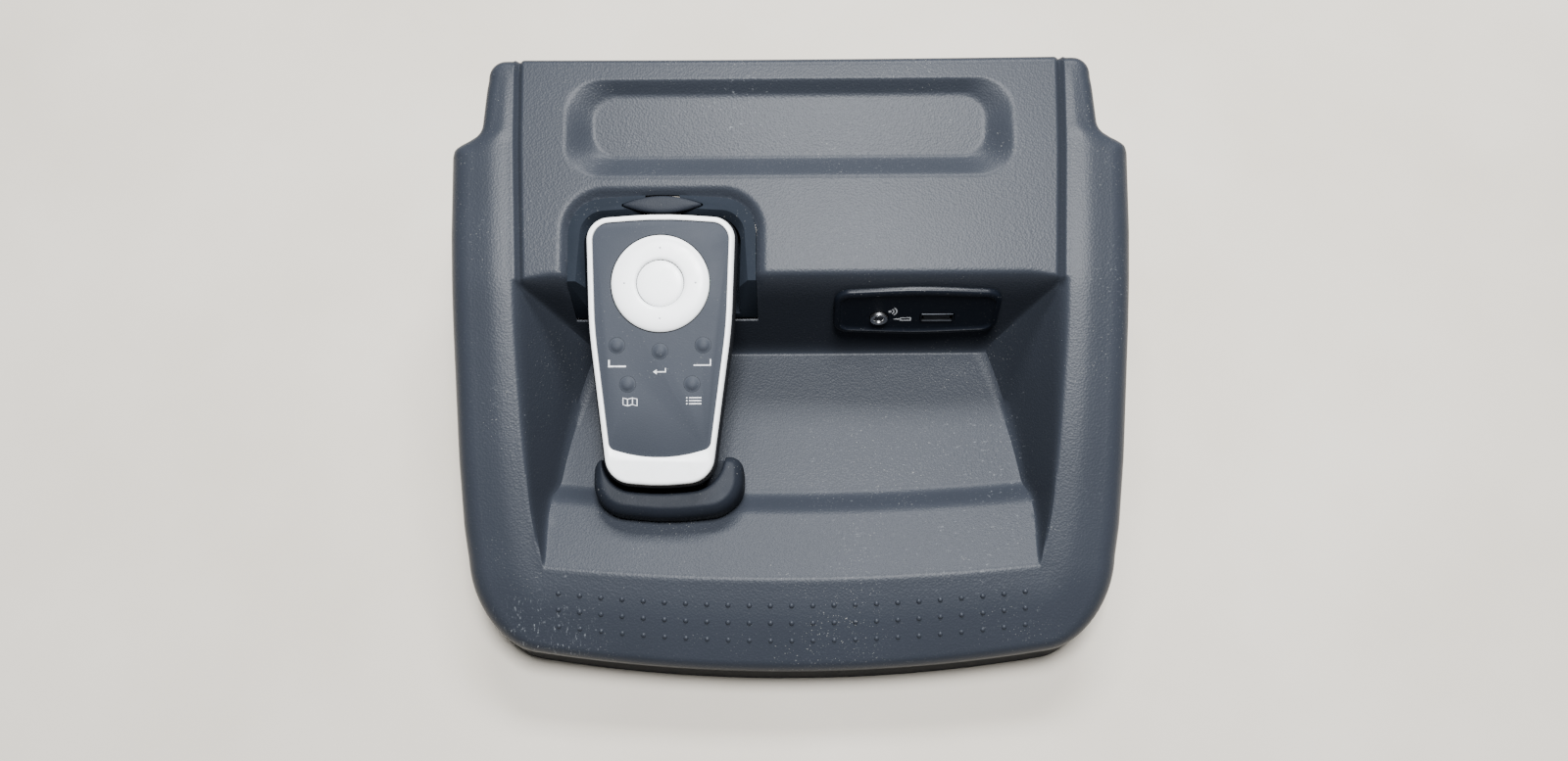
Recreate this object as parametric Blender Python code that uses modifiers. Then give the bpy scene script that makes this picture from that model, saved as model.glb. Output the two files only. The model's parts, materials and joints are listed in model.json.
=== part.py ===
"""Dashboard storage tray with a docked remote handset and a socket plate.

The tray lies face up on its mounting legs and its front skirt. X runs across it, +Y runs from the
front lip towards the top edge, and +Z is up. The origin is the middle of the footprint, at z = 0.
"""

from math import atan2, cos, hypot, pi, radians, sin, sqrt

import bmesh
import bpy
import numpy as np
from mathutils import Matrix, Vector
from mathutils.geometry import interpolate_bezier

MM = 0.001
GAP = 0.3 * MM  # clearance between pieces that touch on the real object

# ---- tray moulding -------------------------------------------------------------------------------
WALL = 2.3 * MM
# height of the rail and lip crest over the table, along Y
RIM_Y = np.array([-109.0, -103.5, -77.5, -29.5, 25.5, 110.5]) * MM
RIM_Z = np.array([23.0, 25.0, 34.0, 46.0, 59.0, 72.0]) * MM
# half width of the bin mouth, which carries on up the panel as the groove beside the rails
MOUTH_Y = np.array([-73.0, -55.0, -27.5, 5.0, 26.5, 74.5, 108.5]) * MM
MOUTH_X = np.array([87.1, 91.3, 94.4, 97.2, 98.2, 100.4, 100.9]) * MM
# half width of the outline, from the front corner up to the rounded shoulder and the narrow top
SIDE_Y = np.array([-70.0, -58.5, -35.5, 11.5, 44.5, 73.5, 76.6,
                   78.2, 79.4, 81.0, 83.5, 98.0, 102.0]) * MM
SIDE_X = np.array([114.8, 116.7, 118.8, 121.7, 123.3, 123.9, 123.0,
                   120.2, 116.8, 114.2, 112.7, 111.5, 110.9]) * MM
TOP_EDGE_Y = 108.6 * MM
TOP_ROW_Y = 102.0 * MM
FRONT_EDGE_Y = -108.0 * MM
FRONT_BOW = 6.7 * MM  # how far the front edge falls back at x = BOW_REACH
BOW_REACH = 88.0 * MM
LIP_BOW = 4.5 * MM
SKIRT_FLARE = 1.0 * MM
HEM_FRONT_Z = 0.13 * MM  # the wall's inner edge then just meets the table
SIDE_ROLL = 8.0 * MM
FRONT_ROLL = 5.0 * MM
TOP_ROLL = 3.5 * MM
RAIL_CROWN = 0.8 * MM
GROOVE_DEPTH = 1.6 * MM
GROOVE_HALF_WIDTH = 1.8 * MM
SIDE_WALL_SLOPE = 2.36  # rise over run of the bin's side walls
BACK_WALL_TOP = (25.5 * MM, 59.0 * MM)
BACK_WALL_FOOT = (13.8 * MM, 14.5 * MM)
STEP_FOOT = (-44.5 * MM, 20.0 * MM)
STEP_TOP = (-51.4 * MM, 26.0 * MM)
CREASE_Y = -77.4 * MM
PANEL_SLOPE = atan2(RIM_Z[5] - RIM_Z[4], RIM_Y[5] - RIM_Y[4])

# long shallow recess in the panel: half length, half height and corner radius at its edge and floor
RECESS_Y = 81.5 * MM
RECESS_OUTER = (80.8 * MM, 17.9 * MM, 12.0 * MM)
RECESS_FLOOR = (72.2 * MM, 11.6 * MM, 9.0 * MM)
RECESS_FLOOR_RISE = 2.7 * MM
RECESS_DEPTH = 4.0 * MM

# underside
LEG_X = 66.0 * MM
LEG_Y = 84.0 * MM
LEG_SIZE = (24.0 * MM, 16.0 * MM)
LEG_WALL = 2.4 * MM
LEG_TOP = 63.0 * MM
REAR_TAB_Z = 32.0 * MM
FRONT_TAB = (58.0 * MM, -92.0 * MM, 9.0 * MM)
TAB_THICKNESS = 2.4 * MM
TAB_WIDTH = 12.0 * MM

# ---- handset -------------------------------------------------------------------------------------
# its own frame: x across, y up its length, z out of its face; the face plane is z = 0
HANDSET_ORIGIN = Vector((-45.85, 0.05, 56.5)) * MM
HANDSET_TILT = radians(12.58)
FRAME_TOP = 0.4 * MM
FRAME_BOTTOM = -2.7 * MM
FACE_BOTTOM = -2.4 * MM
CASE_BACK = -21.0 * MM
CASE_WALL = 1.7 * MM
BOARD_TOP = -4.9 * MM
BOARD_THICKNESS = 1.2 * MM
ROCKER_Y = 23.55 * MM
ROCKER_RADIUS = 17.4 * MM
CENTRE_KEY_RADIUS = 8.25 * MM
ROCKER_PIVOT_Z = -1.9 * MM
ROCKER_SWITCH_RADIUS = 12.0 * MM
KEY_RADIUS = 2.8 * MM
KEYS = {
    "left": (-15.2 * MM, 1.2 * MM),
    "back": (0.0, -0.9 * MM),
    "right": (15.2 * MM, 1.2 * MM),
    "map": (-11.3 * MM, -12.5 * MM),
    "menu": (11.3 * MM, -12.5 * MM),
}
STEM_BOTTOM = -3.1 * MM
SWITCH_TOP = -3.9 * MM
CELL_RADIUS = 5.25 * MM
CELL_LENGTH = 44.5 * MM
CELL_X = 5.7 * MM
CELL_Z = -11.8 * MM
CELL_BOTTOM_Y = -19.5 * MM
DOOR_TRAVEL = 5.0 * MM
DOOR_Y = (-22.0 * MM, 28.0 * MM)
DOOR_HALF_WIDTH = 14.6 * MM
CASE_SCREWS = ((-14.0, 42.0), (14.0, 42.0), (-9.0, -38.5), (9.0, -38.5))

# ---- cradle, in the handset's frame --------------------------------------------------------------
ARCH_HALF_WIDTH = 33.9 * MM
ARCH_TOP = 57.0 * MM
ARCH_RADIUS = 13.0 * MM
DISH_FIT = 0.4 * MM
DISH_WALL = 3.1 * MM
DISH_FLOOR_TOP = -22.0 * MM
DISH_FLOOR = 2.2 * MM
DISH_SINK = 0.8 * MM  # how far the dish's edge lies below the panel
EAR_X = 38.0 * MM
EAR_Y = 36.0 * MM
LATCH_SLOT_HALF_WIDTH = 6.2 * MM
LATCH_Y = 53.1 * MM
LATCH_PAD = (14.8 * MM, 3.2 * MM)

# cup, in world axes
CUP_X = -44.0 * MM
CUP_HALF_WIDTH = 27.0 * MM
CUP_FRONT_Y = -56.0 * MM
CUP_BACK_Y = -33.0 * MM
CUP_TOP_Z = 37.5 * MM
CUP_FLOOR_Z = 25.2 * MM
CUP_SCREW_X = (-56.0 * MM, -32.0 * MM)
CUP_SCREW_Y = -37.5 * MM

# ---- socket plate, in a frame on the back wall: x across, y up the wall, z out of it --------------
SOCKET_X = 46.5 * MM
SOCKET_Z = 41.5 * MM
SOCKET_HALF_WIDTH = 30.4 * MM
SOCKET_HALF_HEIGHT = 13.6 * MM
SOCKET_OPENING = (50.0 * MM, 19.0 * MM)
HOUSING_DEPTH = 22.0 * MM
JACK_X = -13.7 * MM
PORT_Y = -3.7 * MM
USB_X = 7.8 * MM
USB_SIZE = (12.2 * MM, 4.6 * MM)
SOCKET_SCREW_X = 27.7 * MM

PARTS = None
CUTTERS = None


# ---- scene and materials -------------------------------------------------------------------------
def clear_scene():
    """Remove every object, so that the script can be run twice in one file."""
    for item in list(bpy.data.objects):
        bpy.data.objects.remove(item, do_unlink=True)


def new_collection(name):
    collection = bpy.data.collections.new(name)
    bpy.context.scene.collection.children.link(collection)
    return collection


def plain_material(name, colour, roughness, metallic=0.0):
    """A Principled BSDF with one colour, roughness and metallic value."""
    material = bpy.data.materials.new(name)
    material.use_nodes = True
    shader = material.node_tree.nodes["Principled BSDF"]
    shader.inputs["Base Color"].default_value = (*colour, 1.0)
    shader.inputs["Roughness"].default_value = roughness
    shader.inputs["Metallic"].default_value = metallic
    return material


def make_materials():
    """The finishes, by the name of what they cover."""
    return {
        "tray": plain_material("tray_plastic", (0.105, 0.120, 0.140), 0.55),
        "soft": plain_material("soft_plastic", (0.030, 0.032, 0.036), 0.65),
        "case": plain_material("case_plastic", (0.020, 0.021, 0.024), 0.50),
        "face": plain_material("face_rubber", (0.100, 0.108, 0.122), 0.60),
        "silver": plain_material("silver_paint", (0.82, 0.82, 0.82), 0.35, 0.2),
        "white": plain_material("white_plastic", (0.90, 0.91, 0.92), 0.30),
        "gloss": plain_material("gloss_black", (0.008, 0.008, 0.010), 0.15),
        "dark": plain_material("inner_plastic", (0.045, 0.045, 0.045), 0.60),
        "board": plain_material("circuit_board", (0.020, 0.150, 0.060), 0.45),
        "steel": plain_material("plated_steel", (0.60, 0.60, 0.60), 0.30, 1.0),
        "cell": plain_material("cell_wrap", (0.55, 0.38, 0.10), 0.35, 0.3),
        "lens": plain_material("dark_lens", (0.030, 0.004, 0.006), 0.08),
    }


# ---- objects -------------------------------------------------------------------------------------
def link_mesh(name, mesh, material=None, parent=None, cutter=False):
    """Make an object of a mesh and file it with the parts or with the cutters."""
    item = bpy.data.objects.new(name, mesh)
    (CUTTERS if cutter else PARTS).objects.link(item)
    if material is not None:
        mesh.materials.clear()
        mesh.materials.append(material)
    if parent is not None:
        item.parent = parent
    if cutter:
        item.hide_render = True
        item.display_type = "WIRE"
    return item


def finish_mesh(name, bm):
    """Turn a bmesh into a mesh with its faces pointing out and its round sides smooth."""
    bmesh.ops.recalc_face_normals(bm, faces=bm.faces)
    mesh = bpy.data.meshes.new(name)
    bm.to_mesh(mesh)
    bm.free()
    mesh.shade_smooth()
    mesh.set_sharp_from_angle(angle=radians(35.0))
    return mesh


def box_mesh(name, low, high):
    """A box between two corners."""
    bm = bmesh.new()
    bmesh.ops.create_cube(bm, size=1.0)
    low = Vector(low)
    high = Vector(high)
    place = Matrix.Translation((low + high) / 2) @ Matrix.Diagonal((*(high - low), 1.0))
    bmesh.ops.transform(bm, matrix=place, verts=bm.verts)
    return finish_mesh(name, bm)


def cylinder_mesh(name, radius, bottom, top, centre=(0.0, 0.0), segments=16):
    """An upright cylinder."""
    bm = bmesh.new()
    bmesh.ops.create_cone(bm, cap_ends=True, segments=segments, radius1=radius, radius2=radius,
                          depth=top - bottom)
    bmesh.ops.translate(bm, vec=(centre[0], centre[1], (top + bottom) / 2), verts=bm.verts)
    return finish_mesh(name, bm)


def turned_mesh(name, profile, segments=20, closed=False):
    """Turn a profile of (radius, z) about Z with a Screw modifier, and keep the result as a mesh."""
    line = bpy.data.meshes.new(name + "_profile")
    count = len(profile)
    edges = [(i, i + 1) for i in range(count - 1)]
    if closed:
        edges.append((count - 1, 0))
    line.from_pydata([(radius, 0.0, z) for radius, z in profile], edges, [])
    item = bpy.data.objects.new(name, line)
    CUTTERS.objects.link(item)
    screw = item.modifiers.new("turn", "SCREW")
    screw.steps = segments
    screw.render_steps = segments
    screw.use_merge_vertices = True
    screw.merge_threshold = 0.00001
    return baked_mesh(item, name)


def baked_mesh(item, name):
    """The evaluated mesh of an object, which is then removed."""
    bpy.context.view_layer.update()
    evaluated = item.evaluated_get(bpy.context.evaluated_depsgraph_get())
    mesh = bpy.data.meshes.new_from_object(evaluated)
    mesh.name = name
    bpy.data.objects.remove(item, do_unlink=True)
    bm = bmesh.new()
    bm.from_mesh(mesh)
    bmesh.ops.remove_doubles(bm, verts=bm.verts, dist=0.000002)
    bmesh.ops.recalc_face_normals(bm, faces=bm.faces)
    bm.to_mesh(mesh)
    bm.free()
    mesh.shade_smooth()
    mesh.set_sharp_from_angle(angle=radians(35.0))
    return mesh


def plate_mesh(name, outlines, bottom, top):
    """A flat plate: the first outline is its edge and the others are holes through it."""
    curve = bpy.data.curves.new(name, "CURVE")
    curve.dimensions = "2D"
    curve.fill_mode = "BOTH"
    curve.extrude = (top - bottom) / 2
    for outline in outlines:
        spline = curve.splines.new("POLY")
        spline.points.add(len(outline) - 1)
        for point, (x, y) in zip(spline.points, outline):
            point.co = (x, y, 0.0, 1.0)
        spline.use_cyclic_u = True
    item = bpy.data.objects.new(name, curve)
    CUTTERS.objects.link(item)
    mesh = baked_mesh(item, name)
    mesh.transform(Matrix.Translation((0.0, 0.0, (top + bottom) / 2)))
    return mesh


def wire_mesh(name, points, radius):
    """A round wire along a line of points."""
    curve = bpy.data.curves.new(name, "CURVE")
    curve.dimensions = "3D"
    curve.bevel_depth = radius
    curve.bevel_resolution = 1
    curve.use_fill_caps = True
    spline = curve.splines.new("POLY")
    spline.points.add(len(points) - 1)
    for point, place in zip(spline.points, points):
        point.co = (*place, 1.0)
    item = bpy.data.objects.new(name, curve)
    CUTTERS.objects.link(item)
    return baked_mesh(item, name)


def loft_mesh(name, rings, open_top=False):
    """Skin a stack of rings that have the same number of points; the last ring is the top."""
    bm = bmesh.new()
    loops = [[bm.verts.new(point) for point in ring] for ring in rings]
    count = len(loops[0])
    for lower, upper in zip(loops, loops[1:]):
        for i in range(count):
            j = (i + 1) % count
            bm.faces.new((lower[i], lower[j], upper[j], upper[i]))
    bm.faces.new(loops[0][::-1])
    if not open_top:
        bm.faces.new(loops[-1])
    return finish_mesh(name, bm)


def modify_boolean(item, other, operation):
    """Add an exact Boolean with another object."""
    modifier = item.modifiers.new(other.name, "BOOLEAN")
    modifier.operation = operation
    modifier.object = other
    modifier.solver = "EXACT"


def cut(item, mesh, parent=None):
    """Cut a mesh out of an object."""
    cutter = link_mesh("cut_" + mesh.name, mesh, parent=parent, cutter=True)
    modify_boolean(item, cutter, "DIFFERENCE")
    return cutter


def join(item, mesh, parent=None):
    """Add a mesh to an object's solid."""
    addition = link_mesh("add_" + mesh.name, mesh, parent=parent, cutter=True)
    modify_boolean(item, addition, "UNION")
    return addition


def frame_empty(name, location, tilt):
    """An empty that carries the pieces of a group, tilted about X."""
    empty = bpy.data.objects.new(name, None)
    PARTS.objects.link(empty)
    empty.location = location
    empty.rotation_euler = (tilt, 0.0, 0.0)
    empty.empty_display_size = 0.01
    return empty


# ---- outlines ------------------------------------------------------------------------------------
def rounded_polygon(corners, step=radians(18.0)):
    """Points round a polygon whose corners are (x, y, radius), with arcs of even steps."""
    points = []
    count = len(corners)
    for i, (x, y, radius) in enumerate(corners):
        here = Vector((x, y))
        before = (Vector(corners[i - 1][:2]) - here).normalized()
        after = (Vector(corners[(i + 1) % count][:2]) - here).normalized()
        half = before.angle(after) / 2
        turn = pi - 2 * half
        centre = here + (before + after).normalized() * (radius / sin(half))
        start = here + before * (radius * cos(half) / sin(half)) - centre
        steps = max(1, round(turn / step))
        side = 1.0 if before.cross(after) < 0 else -1.0
        for k in range(steps + 1):
            angle = side * turn * k / steps
            spun = Vector((start.x * cos(angle) - start.y * sin(angle),
                           start.x * sin(angle) + start.y * cos(angle)))
            points.append(tuple(centre + spun))
    return points


def grown(outline, distance):
    """Move each point of an anticlockwise outline out along its normal."""
    moved = []
    count = len(outline)
    for i, (x, y) in enumerate(outline):
        x0, y0 = outline[i - 1]
        x1, y1 = outline[(i + 1) % count]
        length = hypot(x1 - x0, y1 - y0)
        moved.append((x + distance * (y1 - y0) / length, y - distance * (x1 - x0) / length))
    return moved


def circle(radius, centre=(0.0, 0.0), segments=24):
    """Points round a circle, anticlockwise."""
    return [(centre[0] + radius * cos(2 * pi * i / segments),
             centre[1] + radius * sin(2 * pi * i / segments)) for i in range(segments)]


def rectangle(width, height, centre=(0.0, 0.0), radius=0.5 * MM):
    """A rounded rectangle, anticlockwise."""
    x = width / 2
    y = height / 2
    corners = [(centre[0] + sx * x, centre[1] + sy * y, radius)
               for sx, sy in ((1, -1), (1, 1), (-1, 1), (-1, -1))]
    return rounded_polygon(corners, step=radians(45.0))


def mirrored_corners(right_side):
    """Corners of a symmetric outline from those at x >= 0, listed upwards from the bottom."""
    left_side = [(-x, y, radius) for x, y, radius in reversed(right_side) if x > 0]
    return right_side + left_side


def handset_outline():
    """The silver frame's outer edge: wide at the top, tapering to a round chin."""
    right = [(0.0, -48.2, 80.0), (18.2, -46.2, 9.5), (25.2, 8.0, 150.0), (26.6, 46.9, 8.0),
             (0.0, 48.9, 150.0)]
    return rounded_polygon(mirrored_corners([(x * MM, y * MM, r * MM) for x, y, r in right]))


def face_outline():
    """The frame's inner edge, with the curved top of the chin."""
    right = [(0.0, -40.2, 50.0), (17.7, -34.8, 3.0), (23.2, 8.0, 150.0), (24.5, 45.0, 6.3),
             (0.0, 46.8, 150.0)]
    return rounded_polygon(mirrored_corners([(x * MM, y * MM, r * MM) for x, y, r in right]))


def arch_outline(bottom):
    """The mouth of the cradle, open towards the bin at the bottom."""
    side = (ARCH_HALF_WIDTH, ARCH_TOP - 2.0 * MM, ARCH_RADIUS)
    right = [(ARCH_HALF_WIDTH, bottom, 4.5 * MM), side, (0.0, ARCH_TOP + 0.4 * MM, 120.0 * MM)]
    return rounded_polygon(mirrored_corners(right), step=radians(13.0))


# ---- tray moulding -------------------------------------------------------------------------------
def soft_interp(at, knots_at, knots_value, reach=5.0 * MM):
    """A broken line whose corners are eased over a short reach."""
    offsets = np.array([-1.0, -0.5, 0.0, 0.5, 1.0]) * reach
    weights = np.array([1.0, 2.0, 2.0, 2.0, 1.0]) / 8.0
    return float(np.dot(weights, np.interp(at + offsets, knots_at, knots_value)))


def rim_height(y):
    """Height of the panel, the rails and the lip. The panel itself is flat."""
    if y >= BACK_WALL_TOP[0]:
        return float(np.interp(y, RIM_Y, RIM_Z))
    return soft_interp(y, RIM_Y, RIM_Z)


def mouth_half_width(y):
    return float(np.interp(y, MOUTH_Y, MOUTH_X))


def side_half_width(y):
    return float(np.interp(y, SIDE_Y, SIDE_X))


def front_edge(x):
    return FRONT_EDGE_Y + FRONT_BOW * (x / BOW_REACH) ** 2


def bin_height(y, x):
    """Height of the bin's floor, step and shelf at a row's middle place y."""
    crease = rim_height(CREASE_Y + LIP_BOW * (x / BOW_REACH) ** 2)
    places = [CREASE_Y, STEP_TOP[0], STEP_FOOT[0], BACK_WALL_FOOT[0], BACK_WALL_TOP[0]]
    heights = [crease, STEP_TOP[1], STEP_FOOT[1], BACK_WALL_FOOT[1], BACK_WALL_TOP[1]]
    return float(np.interp(y, places, heights))


def row_plan(y, bow):
    """Plan points of one row of the panel or bin, from the middle to the mouth's edge."""
    mouth = mouth_half_width(y + bow)
    rim = rim_height(y + bow)
    on_panel = y >= BACK_WALL_TOP[0]
    drop = 0.0 if on_panel else rim - bin_height(y, mouth)
    wall = max(2 * GROOVE_HALF_WIDTH if y > CREASE_Y + 0.5 * MM else 2.4 * MM, drop / SIDE_WALL_SLOPE)
    corner = mouth - wall
    columns = [corner * k / 5 for k in range(6)] + [mouth - wall * f for f in (0.8, 0.45, 0.0)]
    points = []
    for k, x in enumerate(columns):
        place_y = y + bow * (x / BOW_REACH) ** 2
        if on_panel:
            z = rim_height(place_y)
        elif k <= 5:
            z = bin_height(y, x)
        else:
            z = max(bin_height(y, x), rim_height(place_y) - (mouth - x) * SIDE_WALL_SLOPE)
        points.append(Vector((x, place_y, z)))
    return points


def patch_rows():
    """Rows from the top edge down to the crease: the panel, back wall, floor, step and shelf."""
    panel = [98.0, 92.0, 86.0, 83.5, 81.0, 79.4, 78.2, 76.6, 73.5, 62.0, 44.5, 32.0]
    rows = [(TOP_ROW_Y, 0.0)] + [(y * MM, 0.0) for y in panel]
    wall_rows = 4
    for k in range(wall_rows + 1):
        y = BACK_WALL_TOP[0] + (BACK_WALL_FOOT[0] - BACK_WALL_TOP[0]) * k / wall_rows
        rows.append((y, 0.0))
    rows += [(-5.0 * MM, 0.8 * MM), (-25.0 * MM, 2.4 * MM), (STEP_FOOT[0], 4.2 * MM), (STEP_TOP[0], LIP_BOW)]
    rows += [(-60.0 * MM, LIP_BOW), (-69.0 * MM, LIP_BOW), (CREASE_Y, LIP_BOW)]
    return [row_plan(y, bow) for y, bow in rows]


def corner_curve(steps):
    """Plan points round the tray's front corner, from the side to the front edge."""
    start = (side_half_width(-70.0 * MM), -70.0 * MM)
    knots = [start, (113.2 * MM, -86.0 * MM), (102.0 * MM, -99.6 * MM), (90.0 * MM, front_edge(90.0 * MM))]
    curve = interpolate_bezier(*[Vector((x, y, 0.0)) for x, y in knots], steps)
    return [(point.x, point.y) for point in curve]


def stations(rows):
    """Pairs of an inner point and an outline point, round the tray from the top middle to the
    front middle, with the radius of the roll-over between them and the skirt's lower edge."""
    found = []
    for point in rows[0]:
        edge = TOP_EDGE_Y + 0.4 * MM * (point.x / MOUTH_X[-1]) ** 2
        found.append((point, (point.x, edge), TOP_ROLL))
    inner = rows[0][-1]
    for x, y in ((103.6, 109.0), (106.8, 108.5), (109.2, 106.8), (110.4, 104.4)):
        found.append((inner, (x * MM, y * MM), 4.5 * MM))
    for row in rows[1:]:
        y = max(row[-1].y, -70.0 * MM)
        roll = SIDE_ROLL if y < 76.0 * MM else 5.0 * MM
        found.append((row[-1], (side_half_width(y), y), roll))
    for k, (x, y) in enumerate(corner_curve(7)[1:]):
        found.append((rows[-1][-1], (x, y), SIDE_ROLL + (FRONT_ROLL - SIDE_ROLL) * (k + 1) / 6))
    widest = rows[-1][-1].x
    for point in reversed(rows[-1][:-1]):
        x = point.x * 90.0 * MM / widest
        found.append((point, (x, front_edge(x)), FRONT_ROLL))
    return found


def outline_distance(x, y, line):
    """Distance from a plan point to a line of plan points."""
    start = line[:-1]
    span = line[1:] - start
    here = np.array([x, y]) - start
    along = np.clip((here * span).sum(axis=1) / (span * span).sum(axis=1), 0.0, 1.0)
    return float(np.sqrt((((here - span * along[:, None])) ** 2).sum(axis=1)).min())


def hem_height(x, y, crest):
    """Lower edge of the skirt: on the table along the front, then rising up the sides."""
    rise = np.interp(y, [-90.0 * MM, -60.0 * MM, 0.0, 60.0 * MM, 109.0 * MM],
                     [HEM_FRONT_Z, 8.0 * MM, 30.0 * MM, 46.0 * MM, 56.0 * MM])
    along_top = y > 107.0 * MM and x < 101.0 * MM
    return crest - 9.0 * MM if along_top else min(float(rise), crest - 10.0 * MM)


def band_points(station, line):
    """One cross-section of the band round the panel and bin, from its inner edge to the hem."""
    inner, (x, y), roll = station
    outer = Vector((x, y))
    inward = Vector((inner.x - x, inner.y - y))
    width = inward.length
    roll = min(roll, width * 0.9)
    inward.normalize()
    marks = [roll * (1 - cos(pi / 2 * t)) for t in (1.0, 0.66, 0.33)]
    places = [width - (width - roll) * f for f in (0.12, 0.55)] + marks
    crown = RAIL_CROWN if width > 9.0 * MM else 0.0
    points = []
    for place in places:
        spot = outer + inward * place
        share = (width - place) / max(width - roll, 0.001 * MM)
        lift = crown * max(0.0, sin(pi * min(share, 1.0)))
        reach = min(roll, outline_distance(spot.x, spot.y, line))
        drop = roll - sqrt(max(0.0, roll * roll - (roll - reach) ** 2))
        points.append(Vector((spot.x, spot.y, rim_height(spot.y) + lift - drop)))
    crest = rim_height(y)
    points.append(Vector((x, y, crest - roll)))
    low = hem_height(x, y, crest)
    flare = SKIRT_FLARE if y < -90.0 * MM else 0.0
    foot = outer - inward * flare
    points.append(Vector((foot.x, foot.y, low)))
    return points


def tray_surface():
    """Half of the tray's outer surface as a mesh: the panel and bin, and the band round them."""
    rows = patch_rows()
    marks = stations(rows)
    line = np.array([outline for _, outline, _ in marks])
    bm = bmesh.new()
    grid = [[bm.verts.new(point) for point in row] for row in rows]
    for upper, lower in zip(grid, grid[1:]):
        for k in range(len(upper) - 1):
            bm.faces.new((upper[k], lower[k], lower[k + 1], upper[k + 1]))
    last = len(grid[0]) - 1
    fan = 4
    heads = grid[0] + [grid[0][last]] * fan + [row[last] for row in grid[1:]]
    heads += [grid[-1][last]] * 6 + grid[-1][:last][::-1]
    chains = []
    for head, station in zip(heads, marks):
        chains.append([head] + [bm.verts.new(point) for point in band_points(station, line)])
    for first, second in zip(chains, chains[1:]):
        for k in range(len(first) - 1):
            corners = [first[k], first[k + 1], second[k + 1], second[k]]
            if corners[0] is corners[3]:
                corners.pop()
            bm.faces.new(corners)
    for vert in bm.verts:
        if abs(vert.co.x) < 0.01 * MM:
            vert.co.x = 0.0
    return finish_mesh("tray_shell", bm)


def recess_ring(size, shift, height):
    """A rounded rectangle in the panel's plane: a ring of points at one height over the panel."""
    half_length, half_height, radius = size
    corners = [(sx * half_length, shift + sy * half_height, radius)
               for sx, sy in ((1, -1), (1, 1), (-1, 1), (-1, -1))]
    return [(x, y, height) for x, y in rounded_polygon(corners)]


def panel_matrix(y):
    """Place of a frame on the panel's surface at y, with +Z out of the panel."""
    return Matrix.Translation((0.0, y, rim_height(y))) @ Matrix.Rotation(PANEL_SLOPE, 4, "X")


def handset_matrix():
    return Matrix.Translation(HANDSET_ORIGIN) @ Matrix.Rotation(HANDSET_TILT, 4, "X")


def socket_location():
    slope = (BACK_WALL_TOP[1] - BACK_WALL_FOOT[1]) / (BACK_WALL_TOP[0] - BACK_WALL_FOOT[0])
    return Vector((SOCKET_X, BACK_WALL_TOP[0] - (BACK_WALL_TOP[1] - SOCKET_Z) / slope, SOCKET_Z))


def socket_tilt():
    run = BACK_WALL_TOP[0] - BACK_WALL_FOOT[0]
    rise = BACK_WALL_TOP[1] - BACK_WALL_FOOT[1]
    return atan2(rise, run)


def moved(mesh, matrix):
    mesh.transform(matrix)
    return mesh


def add_panel_recess(tray):
    """A pan under the panel, then the tapered recess cut into it."""
    place = panel_matrix(RECESS_Y)
    edge = 1.5 * MM
    around = [length + edge for length in RECESS_OUTER]
    pan = [recess_ring(around, 0.0, z) for z in (-RECESS_DEPTH - WALL, -1.0 * MM)]
    join(tray, moved(loft_mesh("recess_pan", pan), place))
    share = 1.25  # carries the cutter's sloping sides on above the panel
    above = [floor + (edge - floor) * share for floor, edge in zip(RECESS_FLOOR, RECESS_OUTER)]
    hollow = [recess_ring(RECESS_FLOOR, RECESS_FLOOR_RISE, -RECESS_DEPTH),
              recess_ring(above, RECESS_FLOOR_RISE * (1 - share), RECESS_DEPTH * (share - 1))]
    cut(tray, moved(loft_mesh("recess", hollow), place))


def add_grooves(tray):
    """A V groove between the panel and each rail, open at the top edge and at the bin."""
    for side, label in ((-1, "left"), (1, "right")):
        rings = []
        for y in (16.0 * MM, 74.5 * MM, 116.0 * MM):
            x = side * (mouth_half_width(y) - GROOVE_HALF_WIDTH)
            z = float(np.interp(y, RIM_Y, RIM_Z)) + max(0.0, y - RIM_Y[-1]) * PANEL_SLOPE
            over = 2.0
            rings.append([(x, y, z - GROOVE_DEPTH),
                          (x + over * GROOVE_HALF_WIDTH, y, z + GROOVE_DEPTH * (over - 1)),
                          (x - over * GROOVE_HALF_WIDTH, y, z + GROOVE_DEPTH * (over - 1))])
        cut(tray, loft_mesh("groove_" + label, rings))


def add_legs(tray):
    """Two hollow mounting legs under the panel, each with a tab for a spring clip."""
    width, depth = LEG_SIZE
    for side, label in ((-1, "left"), (1, "right")):
        x = side * LEG_X
        low = (x - width / 2, LEG_Y - depth / 2, 0.0)
        high = (x + width / 2, LEG_Y + depth / 2, LEG_TOP)
        join(tray, box_mesh("leg_" + label, low, high))
        tab_low = (x - TAB_WIDTH / 2, LEG_Y + depth / 2 - 1.0 * MM, REAR_TAB_Z - TAB_THICKNESS / 2)
        tab_high = (x + TAB_WIDTH / 2, LEG_Y + depth / 2 + 11.0 * MM, REAR_TAB_Z + TAB_THICKNESS / 2)
        join(tray, box_mesh("rear_tab_" + label, tab_low, tab_high))
        low = (x - width / 2 + LEG_WALL, LEG_Y - depth / 2 + LEG_WALL, -1.0 * MM)
        high = (x + width / 2 - LEG_WALL, LEG_Y + depth / 2 - LEG_WALL, LEG_TOP - 6.0 * MM)
        cut(tray, box_mesh("leg_bore_" + label, low, high))


def add_front_tabs(tray):
    """Two upright tabs under the lip for the front spring clips."""
    x, y, bottom = FRONT_TAB
    for side, label in ((-1, "left"), (1, "right")):
        low = (side * x - TAB_WIDTH / 2, y - TAB_THICKNESS / 2, bottom)
        high = (side * x + TAB_WIDTH / 2, y + TAB_THICKNESS / 2, rim_height(y) - 1.2 * MM)
        join(tray, box_mesh("front_tab_" + label, low, high))


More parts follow.
